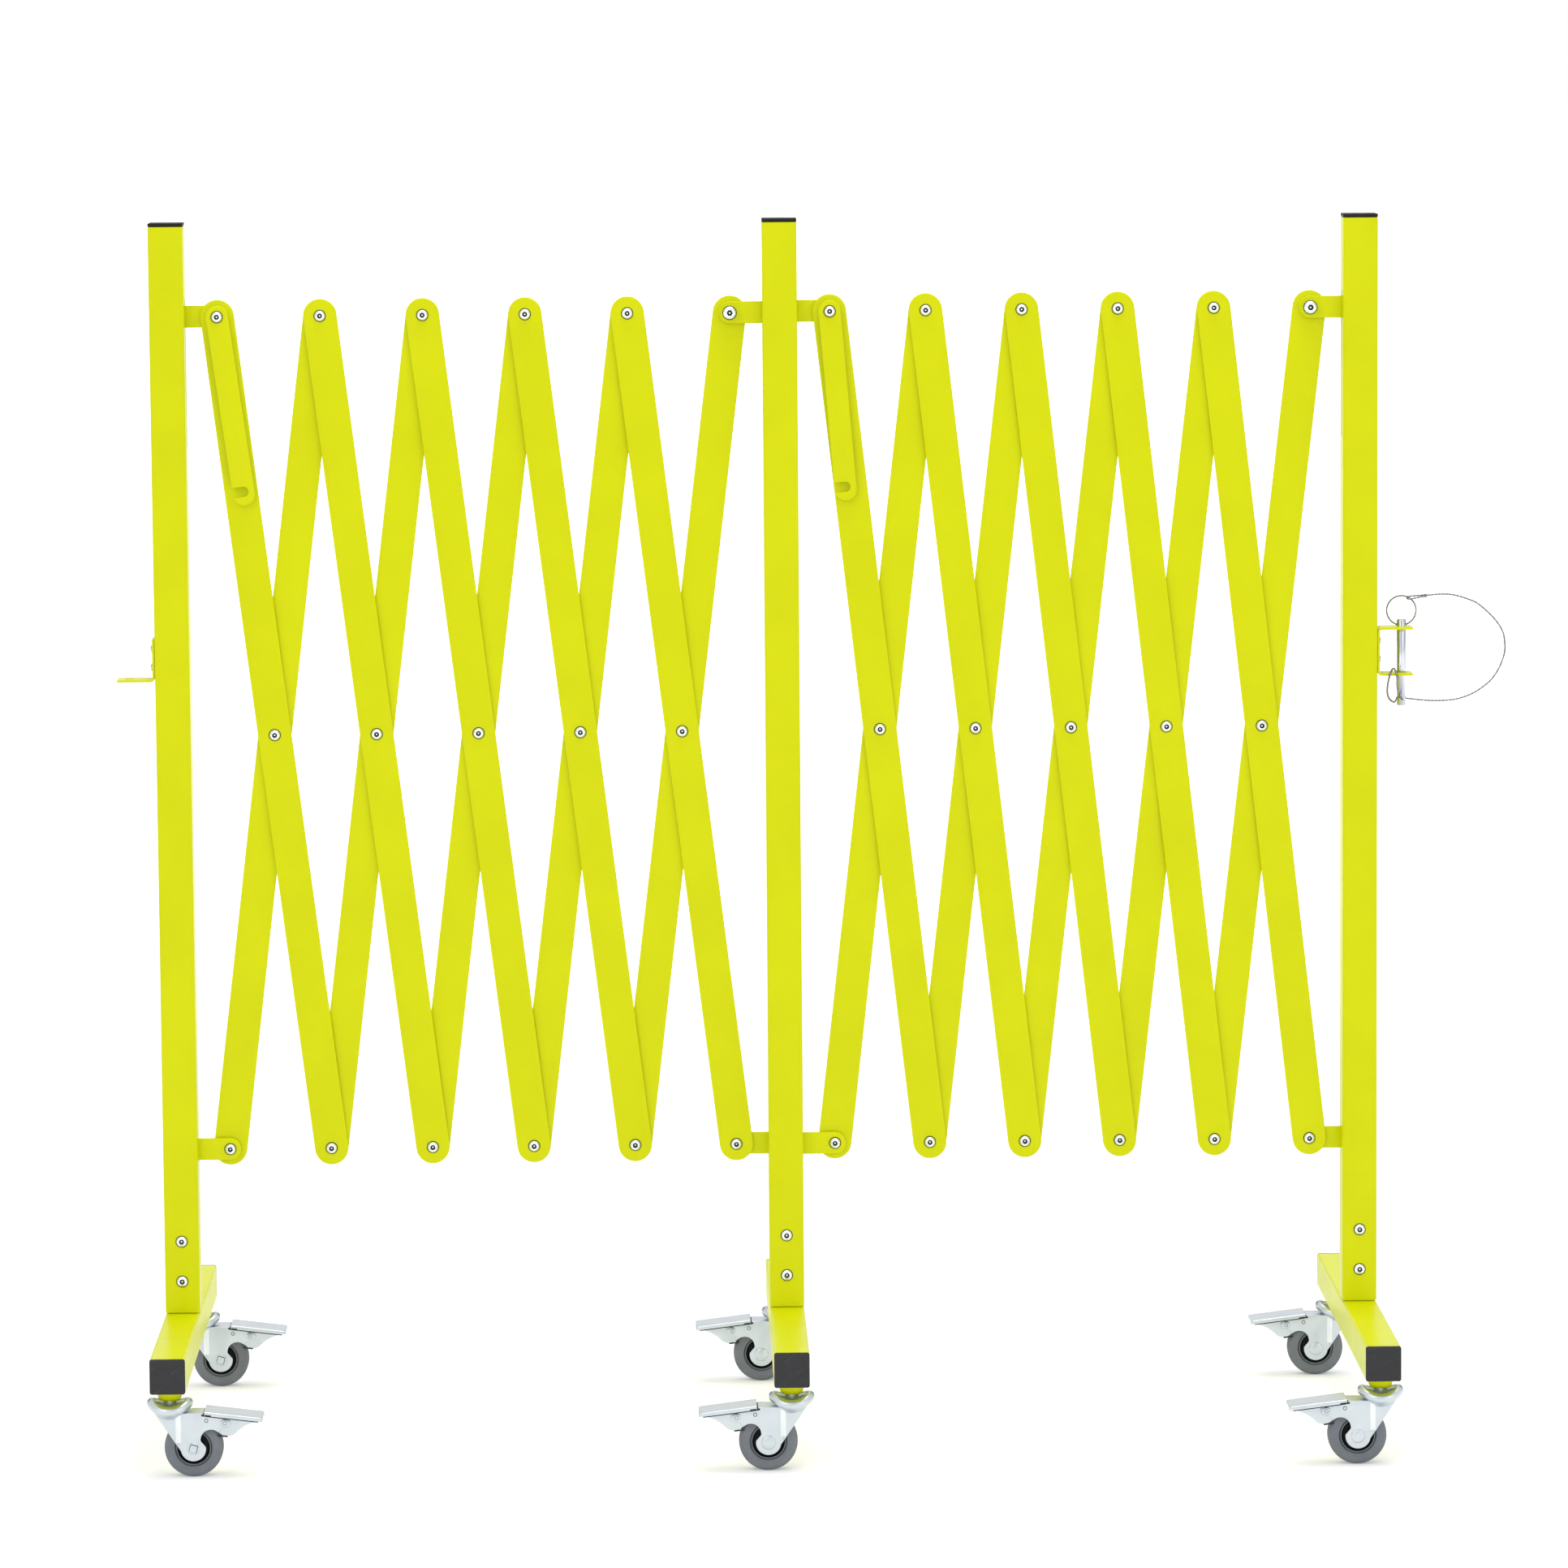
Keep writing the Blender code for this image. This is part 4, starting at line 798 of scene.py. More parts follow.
def swivel_head():
    """Swivel head: a thick round-lipped bowl, a little lower in front and behind, on a neck, with its stem."""
    outer = np.radians(np.linspace(-60, 95, 14))
    inner = np.radians(np.linspace(120, 200, 6))
    radii = [0.0040, 0.0040, 0.0055, 0.0055, 0.0100]
    heights = [0.0738, 0.0648, 0.0647, 0.0580, 0.0578]
    radii += list(0.0160 + 0.0026 * np.cos(inner[::-1]))
    heights += list(0.0632 + 0.0034 * np.sin(inner[::-1]))
    radii += list(0.0152 + 0.0044 * np.cos(outer[::-1]))
    heights += list(0.0626 + 0.0044 * np.sin(outer[::-1]))
    radii += [0.0158, 0.0142, 0.0132, 0.0100]
    heights += [0.0574, 0.0562, 0.0549, 0.0545]
    points, faces = turned(radii, heights, FINE_STEPS)
    away = np.hypot(points[:, 0], points[:, 1])
    dip = 0.0050 * np.clip((away - 0.0105) / 0.0030, 0, 1) * (points[:, 1] / away) ** 2
    return points - dip[:, None] * np.array([0, 0, 1]), faces


def strip(points, half, near, far):
    """A thin bar across XZ between two places along Y, with round ends about two points."""
    return plate(stadium(points[0], points[1], half, 4), near, far, half / 4)


def cross_bolt(radius, x, z):
    """A round bolt along Y, from one outer face of the fork to the other."""
    return moved(facing_front(turned([radius, radius], [-PLATE_OUT, PLATE_OUT], SMALL_STEPS)), x=x, z=z)


def fork_shells():
    """A fork's folded sides, crown, swivel head and axle bolt, a bead along each bend for a painted highlight, and
    painted shade in its gaps, hole and seams and round its nut.
    """
    shells = [swivel_head()]
    bend_highlights = []
    dark = []
    front, back = fork_outlines()
    for side in (-1, 1):
        points, faces = plate(front, side * PLATE_IN, side * PLATE_OUT, 0.0003)
        folded = np.maximum(0, FOLD_X - points[:, 0]) * math.tan(math.radians(FRONT_LEAN))
        shells.append((points - side * folded[:, None] * np.array([0, 1, 0]), faces))
        shells.append(plate(back, side * PLATE_IN, side * PLATE_OUT, 0.0004))
        # A bead down the fold, drawn in bright zinc as a painted highlight
        heights = np.linspace(BEND_LOW, BEND_HIGH, 8)
        rise = [(FOLD_X + 0.0004, side * (PLATE_OUT - 0.0009), height) for height in heights]
        bend_highlights.append(carried(circle(1, 20) * np.array(BEND_HALF), rise, (1, 0, 0)))
        # A dark strip along the seam at the crown: a painted shadow line
        dark.append(strip(FORK_SEAM, 0.0009, side * (PLATE_OUT - 0.0002), side * (PLATE_OUT + 0.0001)))
    sides = ((CROWN_FRONT, CROWN_FRONT_HALF), (CROWN_REAR, CROWN_REAR_HALF))
    outline = [(x, -half) for x, half in sides] + [(x, half) for x, half in sides[::-1]]
    shells.append(levelled(plate(outline, CROWN_LOW, CROWN_TOP, 0.0004)))
    end = AXLE_X + 0.0086
    # A dark strip under the crown's rear end: painted shadow
    dark.append(levelled(plate(rectangle(end, end + 0.0018, CROWN_REAR_HALF), 0.0545, 0.0553, 0.0002)))
    square = np.minimum(polygon_radius(0.0031, 4, ROUND_STEPS), 0.0040)
    nut = turned([square, square, square * 0.90, square * 0.86], [0, 0.0020, 0.0025, 0.0026])
    # A dark ring just wider than the nut: painted shadow round its edge
    edge = turned([square + 0.0004, square + 0.0004], [0, 0.0008])
    ring = turned([0.0053, 0.0055, 0.0052, 0.0040], [0, 0.0002, 0.0005, 0.0005])
    tip = turned([0.0021, 0.0021, 0.0016], [0.0020, 0.0028, 0.0030], SMALL_STEPS)
    # A dark disc on the fork's side for its hole: painted shade
    hole = turned([0.0017, 0.0017, 0.0012, 0.0012], [-0.0002, 0.0001, 0.0001, -0.0002], SMALL_STEPS, True)
    for face, parts in (
        (facing_front, ((nut, shells), (ring, shells), (tip, shells), (edge, dark))),
        (facing_back, ((domed_head(0.0060, 0.0014), shells),)),
    ):
        for shell, kept in parts:
            lifted = moved(tilted(shell, AXLE_TURN, "Z"), z=PLATE_OUT)
            kept.append(moved(face(lifted), x=AXLE_X, z=WHEEL_RADIUS))
        dark.append(moved(face(moved(hole, z=PLATE_OUT)), x=FORK_HOLE[0], z=FORK_HOLE[1]))
    shells.append(cross_bolt(AXLE_RADIUS, AXLE_X, WHEEL_RADIUS))
    return shells, bend_highlights, dark


def mirrored_wheel(radii, depths, steps):
    """A body of revolution about the axle from its front half, mirrored across its middle."""
    radii = np.concatenate([radii, radii[::-1]])
    depths = np.concatenate([depths, -np.array(depths[::-1])])
    return facing_front(turned(radii, depths, steps, True))


def tyre_shell():
    """Tyre about its axle: a lip round the rim, a flat wall and a tread whose shoulder is an ellipse."""
    shoulder = np.radians(np.linspace(15, 82, 7))
    radii = [0.0150, 0.0155, 0.0160, 0.0166, 0.0171, 0.0200]
    depths = [0.0060, 0.0078, 0.0086, 0.0088, 0.0086, 0.0088]
    radii += [*(0.0214 + 0.0034 * np.sin(shoulder)), 0.0250]
    depths += [*(0.0052 + 0.0036 * np.cos(shoulder)), 0.0026]
    return mirrored_wheel(radii, depths, TYRE_STEPS)


def hub_shells():
    """Hub about its axle, a boss and a deep web, and the raised ring of its rim inside the tyre's lip."""
    hub = mirrored_wheel(
        [0.0034, 0.0036, 0.0086, 0.0090, 0.0094, 0.0118, 0.0130, 0.0133, 0.0139, 0.0153],
        [0.0096, 0.0100, 0.0100, 0.0096, 0.0040, 0.0036, 0.0040, 0.0068, 0.0070, 0.0056], FINE_STEPS,
    )
    rim = mirrored_wheel(
        [0.0138, 0.0138, 0.0140, 0.0147, 0.0149, 0.0149], [0.0040, 0.0080, 0.0083, 0.0083, 0.0080, 0.0040],
        FINE_STEPS,
    )
    return hub, rim


def tread_height(x):
    """Height of the tread's top: a straight slope from its start to its end."""
    return TREAD_TOP - TREAD_DROP * (x - TREAD_START) / (TREAD_END - TREAD_START)


def pedal_shells():
    """A pedal: a lipped sheet carried along its slope and drawn in at its tip, two walls, rivet heads, and painted
    shadow lines along its seams and round its rivets.
    """
    outer = np.vstack([
        [(-TREAD_HALF, -LIP)],
        arc(-TREAD_HALF + PEDAL_CORNER, -PEDAL_CORNER, PEDAL_CORNER, 180, 90, 4),
        arc(TREAD_HALF - PEDAL_CORNER, -PEDAL_CORNER, PEDAL_CORNER, 90, 0, 4),
        [(TREAD_HALF, -LIP)],
    ])
    inner = outer * np.array([1 - PEDAL_SHEET / TREAD_HALF, 1]) - np.array([0, PEDAL_SHEET])
    inner[[0, -1], 1] = outer[[0, -1], 1]
    profile = np.vstack([outer, inner[::-1]])
    rounding = PEDAL_TIP * (1 - np.sin(np.radians(np.linspace(0, 90, 6))))
    stations = np.concatenate([[TREAD_START], TREAD_END - rounding])
    half = TREAD_HALF - PEDAL_TIP * (1 - np.cos(np.radians([0, *np.linspace(0, 80, 6)])))
    rings = np.stack([
        stations[:, None] + 0 * profile[:, 0],
        profile[:, 0] * (half / TREAD_HALF)[:, None],
        tread_height(stations)[:, None] + profile[:, 1],
    ], axis=-1)
    shells = [ring_shell(rings)]
    dark = []
    wall_end = WALL_EDGE[-1][0]
    wall = np.vstack([
        [(TREAD_START + 0.0002, TREAD_TOP - 0.0006), (TREAD_START + 0.0002, TREAD_TOP - 0.0030)],
        smooth_route(WALL_EDGE, 4),
        [(wall_end, tread_height(wall_end) - 0.0006)],
    ])
    # A thin dark strip just under the lip's lower edge: painted shadow
    seam = [(x, tread_height(x) - LIP - 0.0004) for x in (TREAD_START + 0.0016, TREAD_END - 0.0040)]
    for side in (-1, 1):
        shells.append(plate(wall, side * PEDAL_WALL[0], side * PEDAL_WALL[1], 0.0003))
        # Painted shadow lines under the lip, at the tread's start and along the wall
        dark.append(strip(seam, 0.0005, side * (TREAD_HALF - 0.0012), side * (TREAD_HALF - 0.0001)))
        dark.append(strip(TREAD_SEAM, 0.0007, side * 0.0153, side * (TREAD_HALF + 0.0001)))
        dark.append(strip(WALL_SEAM, 0.0006, side * 0.0090, side * 0.0104))
    head = domed_head(0.0036, 0.0012, SMALL_STEPS)
    # A dark ring round each rivet head: painted shadow
    ring = turned([0.0017, 0.0016, 0.0013, 0.0012], [0.0010, 0.0014, 0.0014, 0.0010], SMALL_STEPS, True)
    for face in (facing_front, facing_back):
        for shell, kept in ((head, shells), (ring, dark)):
            kept.append(moved(face(moved(shell, z=PLATE_OUT)), x=RIVET[0], z=RIVET[1]))
    shells.append(cross_bolt(RIVET_RADIUS, *RIVET))
    return shells, dark


def pad_shell():
    """The brake pad: a block between the pedal's walls with a flat foot that faces the tyre."""
    return plate(PAD_OUTLINE, -PAD_HALF, PAD_HALF, 0.0004)


def at_caster(shell, stand, end):
    """A caster's shell turned the way its stand's casters trail, in its place."""
    turned_way = tilted(shell, 0 if TRAIL[stand] > 0 else 180, "Z")
    return moved(turned_way, STAND_X[stand], ENDS[end] * CASTER_Y, 0)


def pivots(side):
    """Places of a section's pivots: X of its five crosses' edges, and the height of its upper row."""
    start = STAND_X[SECTION_FROM[side]] + TUBE_HALF + ARM_REACH
    top = LOW_PIVOT + math.sqrt(REACH ** 2 - PITCH[side] ** 2)
    return start + PITCH[side] * np.arange(CELLS + 1), top


def link_outline():
    """A lock link about its pivot: a bar with a round head, a round foot and a hook open to its left."""
    foot = -(LOCK_REACH + HOOK_RADIUS + HOOK_LIP - LINK_HALF)
    lip = math.degrees(math.asin((LINK_HALF - HOOK_LIP) / LINK_HALF))
    return np.vstack([
        arc(0, 0, LINK_HALF, 0, 180, 16),
        arc(-LINK_HALF + 0.0012, -LOCK_REACH + HOOK_RADIUS + 0.0012, 0.0012, 180, 270, 4),
        arc(0, -LOCK_REACH, HOOK_RADIUS, 90, -90, 14),
        arc(0, foot, LINK_HALF, 180 + lip, 360, 16),
    ])


def eye_places():
    """Where the lanyard's eye starts on the ring, and the way in which it leaves."""
    angle = math.radians(EYE_ANGLE)
    lean = math.radians(EYE_RISE)
    meet = np.array([PIN_X, 0, RING_HEIGHT])
    meet = meet + (RING_RADIUS - RING_WIRE) * np.array([math.cos(angle), 0, math.sin(angle)])
    ahead = np.array([math.cos(lean), 0, math.sin(lean)])
    return meet - EYE_SETBACK * ahead, ahead


# What a user may change


def colour_setting(name, description, code):
    """A colour, its default from an sRGB hex colour."""
    return FloatVectorProperty(
        name=name, description=description, subtype="COLOR", size=4, min=0, max=1, default=linear(code)
    )


def length_setting(name, description, default, low, high):
    """A length in metres between two limits."""
    return FloatProperty(
        name=name, description=description, default=default, min=low, max=high, unit="LENGTH", subtype="DISTANCE"
    )


class BarrierColours(bpy.types.PropertyGroup):
    """Colours of the barrier's finishes."""

    coat: colour_setting("Powder coat", "Yellow-green of the tubes and bars", "#DDE200")
    coat_cloud: colour_setting("Powder coat cloud", "Tone of the coat where it lies thicker", "#D8DD00")
    zinc: colour_setting("Zinc plate", "Pale blue-white of the casters", "#CED5DB")
    zinc_cloud: colour_setting("Zinc cloud", "Duller patches of the zinc", "#C6CED5")
    # Bright zinc is also the painted highlight on the beads along the forks' bends
    bright: colour_setting("Bright zinc", "Zinc of the screws' heads and the forks' bends", "#E8EDEE")
    bright_cloud: colour_setting("Bright zinc cloud", "Duller patches of the bright zinc", "#DDE3E5")
    # Painted shade: the near-black laid in sockets, seams and gaps, and its paler clouds
    painted_shade_tone: colour_setting("Painted shade", "Dark sockets of the screws and seams of the casters", "#171714")
    painted_shade_cloud: colour_setting("Painted shade cloud", "Paler clouds of the painted shade", "#262621")
    pin: colour_setting("Polished pin", "Bright steel of the coupling pin and the brackets' screws", "#D4D8DE")
    pin_mark: colour_setting("Pin draw marks", "Darker marks along the pin", "#8E9194")
    spring: colour_setting("Spring steel", "Duller steel of the ring and the clip", "#8B8A82")
    spring_mark: colour_setting("Spring steel shade", "Brownish shade of the ring and the clip", "#605E50")
    rope: colour_setting("Wire rope", "Grey of the lanyard's strands", "#9A9C9E")
    rope_shade: colour_setting("Wire rope shade", "Darker grey between the strands", "#6E7072")
    rubber: colour_setting("Tyre rubber", "Grey of the tyres", "#6F747C")
    rubber_cloud: colour_setting("Tyre dust", "Slightly paler patches of the tyres", "#777C83")
    plug: colour_setting("Plug plastic", "Charcoal of the end plugs, guide blocks and brake pads", "#333336")
    plug_rub: colour_setting("Plug scratches", "Pale scratches on the plugs", "#46464B")
    cap: colour_setting("Cap plastic", "Black of the post caps and wheel hubs", "#0B0A08")
    cap_rub: colour_setting("Cap scratches", "Fine scratches on the caps", "#1C1B18")
    floor: colour_setting("Floor", "Pale floor and background", "#F7F7F7")


class BarrierSizes(bpy.types.PropertyGroup):
    """Small sizes of the barrier's looks; its main sizes are the CAD's."""

    tube_corner: length_setting(
        "Tube corner", "Outer radius at the corners of the square tube", 0.002, 0.001, 0.004
    )
    sheet_edge: length_setting("Bar edge", "Rounding along the edges of the flat bars", 0.0005, 0.0001, 0.0012)
    plug_edge: length_setting("Plug edge", "Rounding round the face of a leg's end plug", 0.0008, 0.0002, 0.002)


# Operators: one for each group of like pieces


class BARRIER_OT_camera(bpy.types.Operator):
    """Set the camera where the photograph was taken from"""

    bl_idname = "barrier.camera"
    bl_label = "Camera"

    def execute(self, context):
        yaw, pitch, roll = CAMERA_YAW, CAMERA_PITCH, CAMERA_ROLL
        ahead = Vector((math.sin(yaw) * math.cos(pitch), math.cos(yaw) * math.cos(pitch), -math.sin(pitch)))
        level = Vector((math.cos(yaw), -math.sin(yaw), 0))
        upright = level.cross(ahead)
        right = level * math.cos(roll) + upright * math.sin(roll)
        up = upright * math.cos(roll) - level * math.sin(roll)
        data = bpy.data.cameras.new("camera")
        data.sensor_width = SENSOR_WIDTH
        data.lens = SENSOR_WIDTH * FOCAL_PIXELS / IMAGE_PIXELS
        data.clip_end = 200
        camera = bpy.data.objects.new("camera", data)
        context.scene.collection.objects.link(camera)
        turn = Matrix((right, up, -ahead)).transposed().to_4x4()
        camera.matrix_world = Matrix.Translation(CAMERA_PLACE) @ turn
        context.scene.camera = camera
        return {"FINISHED"}


class BARRIER_OT_finishes(bpy.types.Operator):
    """Mix the finishes of the barrier"""

    bl_idname = "barrier.finishes"
    bl_label = "Finishes"

    def execute(self, context):
        colours = context.scene.barrier_colours
        powder_coat(colours.coat, colours.coat_cloud)
        zinc_plate("zinc_plate", colours.zinc, colours.zinc_cloud)
        zinc_plate("bright_zinc", colours.bright, colours.bright_cloud)
        dark_grease(colours.painted_shade_tone, colours.painted_shade_cloud)
        drawn_steel("polished_pin", colours.pin, colours.pin_mark)
        drawn_steel("spring_wire", colours.spring, colours.spring_mark)
        stranded_wire(colours.rope, colours.rope_shade)
        tyre_rubber(colours.rubber, colours.rubber_cloud)
        moulded_plastic("plug_plastic", colours.plug, colours.plug_rub)
        moulded_plastic("cap_plastic", colours.cap, colours.cap_rub)
        return {"FINISHED"}


class BARRIER_OT_lanyard(bpy.types.Operator):
    """Lay the thin wire lanyard and its crimped eye"""

    bl_idname = "barrier.lanyard"
    bl_label = "Lanyard"

    def execute(self, context):
        start, ahead = eye_places()
        roll = math.radians(EYE_ROLL)
        lift = np.array([-ahead[2], 0, ahead[0]])
        across = math.cos(roll) * np.array([0, 1, 0]) + math.sin(roll) * lift
        nose = arc(EYE_HALF, 0, EYE_HALF, 270, 90, 16)
        outline = np.vstack([nose, [(EYE_SHOULDER, EYE_NECK), (EYE_SHOULDER, -EYE_NECK)]])
        path = start + outline[:, :1] * ahead + outline[:, 1:] * across
        normal = np.cross(ahead, across)
        loop = carried(circle(CORD_RADIUS, WIRE_STEPS), path, normal, closed=True)
        squeeze = np.array([0.82, 1.0, 1.0, 0.9, 1.0, 1.0, 0.82]) * FERRULE_RADIUS
        steps = np.array([0, 0.06, 0.44, 0.5, 0.56, 0.94, 1.0]) * FERRULE_LENGTH
        ferrule = tilted(tilted(turned(squeeze, steps, SMALL_STEPS), 90, "Y"), -EYE_RISE, "Y")
        foot = start + ahead * (EYE_SHOULDER - 0.001)
        groups = [("stranded_wire", [loop]), ("spring_wire", [moved(ferrule, *foot)])]
        eye = add_piece("lanyard_crimped_eye", groups, "coupling_pin", ["lanyard_eye"])
        first = foot + ahead * (FERRULE_LENGTH + 0.0003)
        places = [first] + [(PIN_X + x, y, CLIP_HEIGHT + z) for x, y, z in CORD_ROUTE]
        places.append((PIN_X + PIN_RADIUS + 0.0003, 0, CLIP_HEIGHT))
        route = smooth_route(places, 8)
        strand = carried(circle(CORD_RADIUS, WIRE_STEPS), route, (0, 1, 0))
        wire = add_piece("lanyard_wire", [("stranded_wire", [strand])], "coupling_pin", ["lanyard"])
        return {"FINISHED"}


class BARRIER_OT_posts(bpy.types.Operator):
    """Build the three posts with their lower arms, caps and foot screws"""

    bl_idname = "barrier.posts"
    bl_label = "Posts"

    def execute(self, context):
        sizes = context.scene.barrier_sizes
        # For each post: the sides that carry an arm, and whether its lower arm is in the front layer
        arms = {"left": [(1, True)], "centre": [(-1, False), (1, True)], "right": [(-1, False)]}
        for stand, sides in arms.items():
            x = STAND_X[stand]
            body = stand + "_stand"
            slots = [(side, 1 if low_front else -1) for side, low_front in sides]
            shells = [moved(post_shell(sizes.tube_corner, slots), x)]
            screws = []
            for side, low_front in sides:
                layer = -1 if low_front else 1
                pivot = x + side * (TUBE_HALF + ARM_REACH)
                outline = tongue(x + side * (TUBE_HALF - ROOT_OVERLAP), pivot, LOW_PIVOT, ARM_HALF)
                shells.append(plate(outline, layer * LAYER_GAP / 2, layer * OUTSIDE, sizes.sheet_edge))
                if low_front:
                    screws.append(pivot_screw(pivot, LOW_PIVOT))
            add_piece(stand + "_post_tube", [("powder_coat", shells)], body, [stand + "_post"])
            for height in FOOT_SCREWS:
                screws.append(front_head(x, -TUBE_HALF, height, FOOT_HEAD_RADIUS, FOOT_HEAD_HEIGHT, SOCKET_RADIUS))
            add_piece(stand + "_post_screws", gathered(*screws), body)
            low = POST_TOP + CAP_GAP
            head = plate(rounded_square(TUBE_HALF, sizes.tube_corner), low, low + CAP_HEIGHT, CAP_EDGE)
            spigot = plate(rounded_square(BORE_HALF - TUBE_FIT, 0.0006), low - SPIGOT_LENGTH, low + 0.0002, 0.0003)
            shells = [moved(levelled(shell), x) for shell in (head, spigot)]
            add_piece(stand + "_post_top", [("cap_plastic", shells)], body, [stand + "_post_cap"])
        aside, height = STOP_PLACE
        stop = facing_front(turned([0.0018, 0.0018, 0.0015], [-0.0004, 0.0001, 0.0003], SMALL_STEPS))
        stop = moved(stop, STAND_X["centre"] + aside, -TUBE_HALF, height)
        add_piece("centre_post_stop", [("powder_coat", [stop])], "centre_stand")
        return {"FINISHED"}


class BARRIER_OT_legs(bpy.types.Operator):
    """Build the three legs with their stubs, caster bosses and end plugs"""

    bl_idname = "barrier.legs"
    bl_label = "Legs"

    def execute(self, context):
        sizes = context.scene.barrier_sizes
        long = LEG_HALF - PLUG_HEAD
        boss = turned(BOSS_RADII, BOSS_HEIGHTS)
        for stand, x in STAND_X.items():
            body = stand + "_stand"
            tube = box_tube(TUBE_HALF, WALL, -long, long, sizes.tube_corner)
            shells = [moved(facing_back(tube), x, 0, LEG_LOW + TUBE_HALF)]
            stub = box_tube(BORE_HALF - TUBE_FIT, 0.002, LEG_TOP - ROOT_OVERLAP, LEG_TOP + STUB_LENGTH, 0.001)
            shells.append(moved(stub, x))
            plugs = []
            for side in (-1, 1):
                shells.append(moved(boss, x, side * CASTER_Y, LEG_LOW))
                face = plate(
                    rounded_square(TUBE_HALF, sizes.tube_corner), side * long, side * LEG_HALF, sizes.plug_edge
                )
                plugs.append(moved(face, x, 0, LEG_LOW + TUBE_HALF))
            add_piece(stand + "_leg_tube", [("powder_coat", shells)], body, [stand + "_leg"])
            add_piece(stand + "_leg_plugs", [("plug_plastic", plugs)], body)
        return {"FINISHED"}


class BARRIER_OT_slats(bpy.types.Operator):
    """Build the flat bars of both lattices and the screws at their crossings"""

    bl_idname = "barrier.slats"
    bl_label = "Slats and pivot screws"

    def execute(self, context):
        edge = context.scene.barrier_sizes.sheet_edge
        for side in PITCH:
            across, top = pivots(side)
            for cell in range(CELLS):
                left, right = across[cell], across[cell + 1]
                number = str(cell + 1)
                front = side + "_front_slat_" + number
                outline = stadium((right, LOW_PIVOT), (left, top), SLAT_HALF)
                bar = plate(outline, -OUTSIDE, -LAYER_GAP / 2, edge)
                add_piece(front + "_bar", [("powder_coat", [bar])], front, [front])
                screws = [pivot_screw(right, LOW_PIVOT), pivot_screw((left + right) / 2, (LOW_PIVOT + top) / 2)]
                if cell:
                    screws.append(pivot_screw(left, top))
                else:
                    spacer = washer(SPACER_RADIUS, OUTSIDE, -LINK_NEAR - HEAD_GAP)
                    screws.append(pivot_screw(left, top, LINK_FAR - HEAD_GAP))
                    screws.append(([moved(facing_front(spacer), left, 0, top)], []))
                add_piece(front + "_screws", gathered(*screws), front)
                rear = side + "_rear_slat_" + number
                outline = stadium((left, LOW_PIVOT), (right, top), SLAT_HALF)
                bar = plate(outline, LAYER_GAP / 2, OUTSIDE, edge)
                add_piece(rear + "_bar", [("powder_coat", [bar])], rear, [rear])
        return {"FINISHED"}


class BARRIER_OT_arms(bpy.types.Operator):
    """Build the sliding upper arms, their guide blocks, the lock links and their studs"""

    bl_idname = "barrier.arms"
    bl_label = "Sliding arms and lock links"

    def execute(self, context):
        edge = context.scene.barrier_sizes.sheet_edge
        for side in PITCH:
            across, top = pivots(side)
            for name, pivot, post_x, layer in (
                ("left", across[0], STAND_X[SECTION_FROM[side]], 1),
                ("right", across[-1], STAND_X[SECTION_TO[side]], -1),
            ):
                body = side + "_section_" + name + "_arm"
                inward = 1 if pivot > post_x else -1
                outline = tongue(post_x + inward * (BORE_HALF - 0.0006), pivot, top, ARM_HALF)
                bar = plate(outline, layer * LAYER_GAP / 2, layer * OUTSIDE, edge)
                add_piece(body + "_bar", [("powder_coat", [bar])], body, [body])
                far = BORE_HALF - GUIDE_FIT
                block = plate(rectangle(GUIDE_CORE, far, GUIDE_HALF), -far, far, 0.0006)
                block = moved((block[0] * np.array([inward, 1, 1]), block[1]), post_x, 0, top)
                add_piece(body + "_guide", [("plug_plastic", [block])], body)
                if layer < 0:
                    screw = pivot_screw(pivot, top, LINK_FAR - HEAD_GAP, STUD_HEAD_RADIUS, STUD_HEAD_HEIGHT)
                    neck = turned([STUD_RADIUS, STUD_RADIUS], [OUTSIDE, -LINK_FAR + 0.0004])
                    neck = moved(facing_front(neck), pivot, 0, top)
                    add_piece(body + "_stud", gathered(screw, ([neck], [])), body)
            link = side + "_lock_link"
            bar = tilted(plate(link_outline(), LINK_FAR, LINK_NEAR, edge), -LINK_LEAN[side], "Y")
            add_piece(link + "_bar", [("powder_coat", [moved(bar, across[0], 0, top)])], link, [link])
        return {"FINISHED"}


class BARRIER_OT_casters(bpy.types.Operator):
    """Build the six swivel casters: fork, tyre, hub and brake pedal"""

    bl_idname = "barrier.casters"
    bl_label = "Casters"

    def execute(self, context):
        fork, bend_highlights, fork_painted_shade = fork_shells()
        pedal, pedal_painted_shade = pedal_shells()
        tyre = moved(tyre_shell(), x=AXLE_X, z=WHEEL_RADIUS)
        hub, rim = (moved(shell, x=AXLE_X, z=WHEEL_RADIUS) for shell in hub_shells())
        for stand in STAND_X:
            for end in ENDS:
                caster = stand + "_" + end
                wheel = caster + "_wheel"
                brake = caster + "_brake_pedal"
                # Forks carry a painted highlight on their bends, and forks and pedals carry painted shade in their gaps
                for name, groups, body, nodes in (
                    (
                        "_fork", [("zinc_plate", fork), ("bright_zinc", bend_highlights), ("dark_grease", fork_painted_shade)],
                        caster + "_caster_fork", [caster + "_caster_fork"],
                    ),
                    ("_tyre", [("tyre_rubber", [tyre])], wheel, [wheel]),
                    ("_hub", [("cap_plastic", [hub]), ("tyre_rubber", [rim])], wheel, []),
                    ("_pedal", [("zinc_plate", pedal), ("dark_grease", pedal_painted_shade)], brake, [brake]),
                    ("_pad", [("plug_plastic", [pad_shell()])], brake, []),
                ):
                    placed = [
                        (finish, [at_caster(shell, stand, end) for shell in shells]) for finish, shells in groups
                    ]
                    add_piece(caster + name, placed, body, nodes)
        return {"FINISHED"}


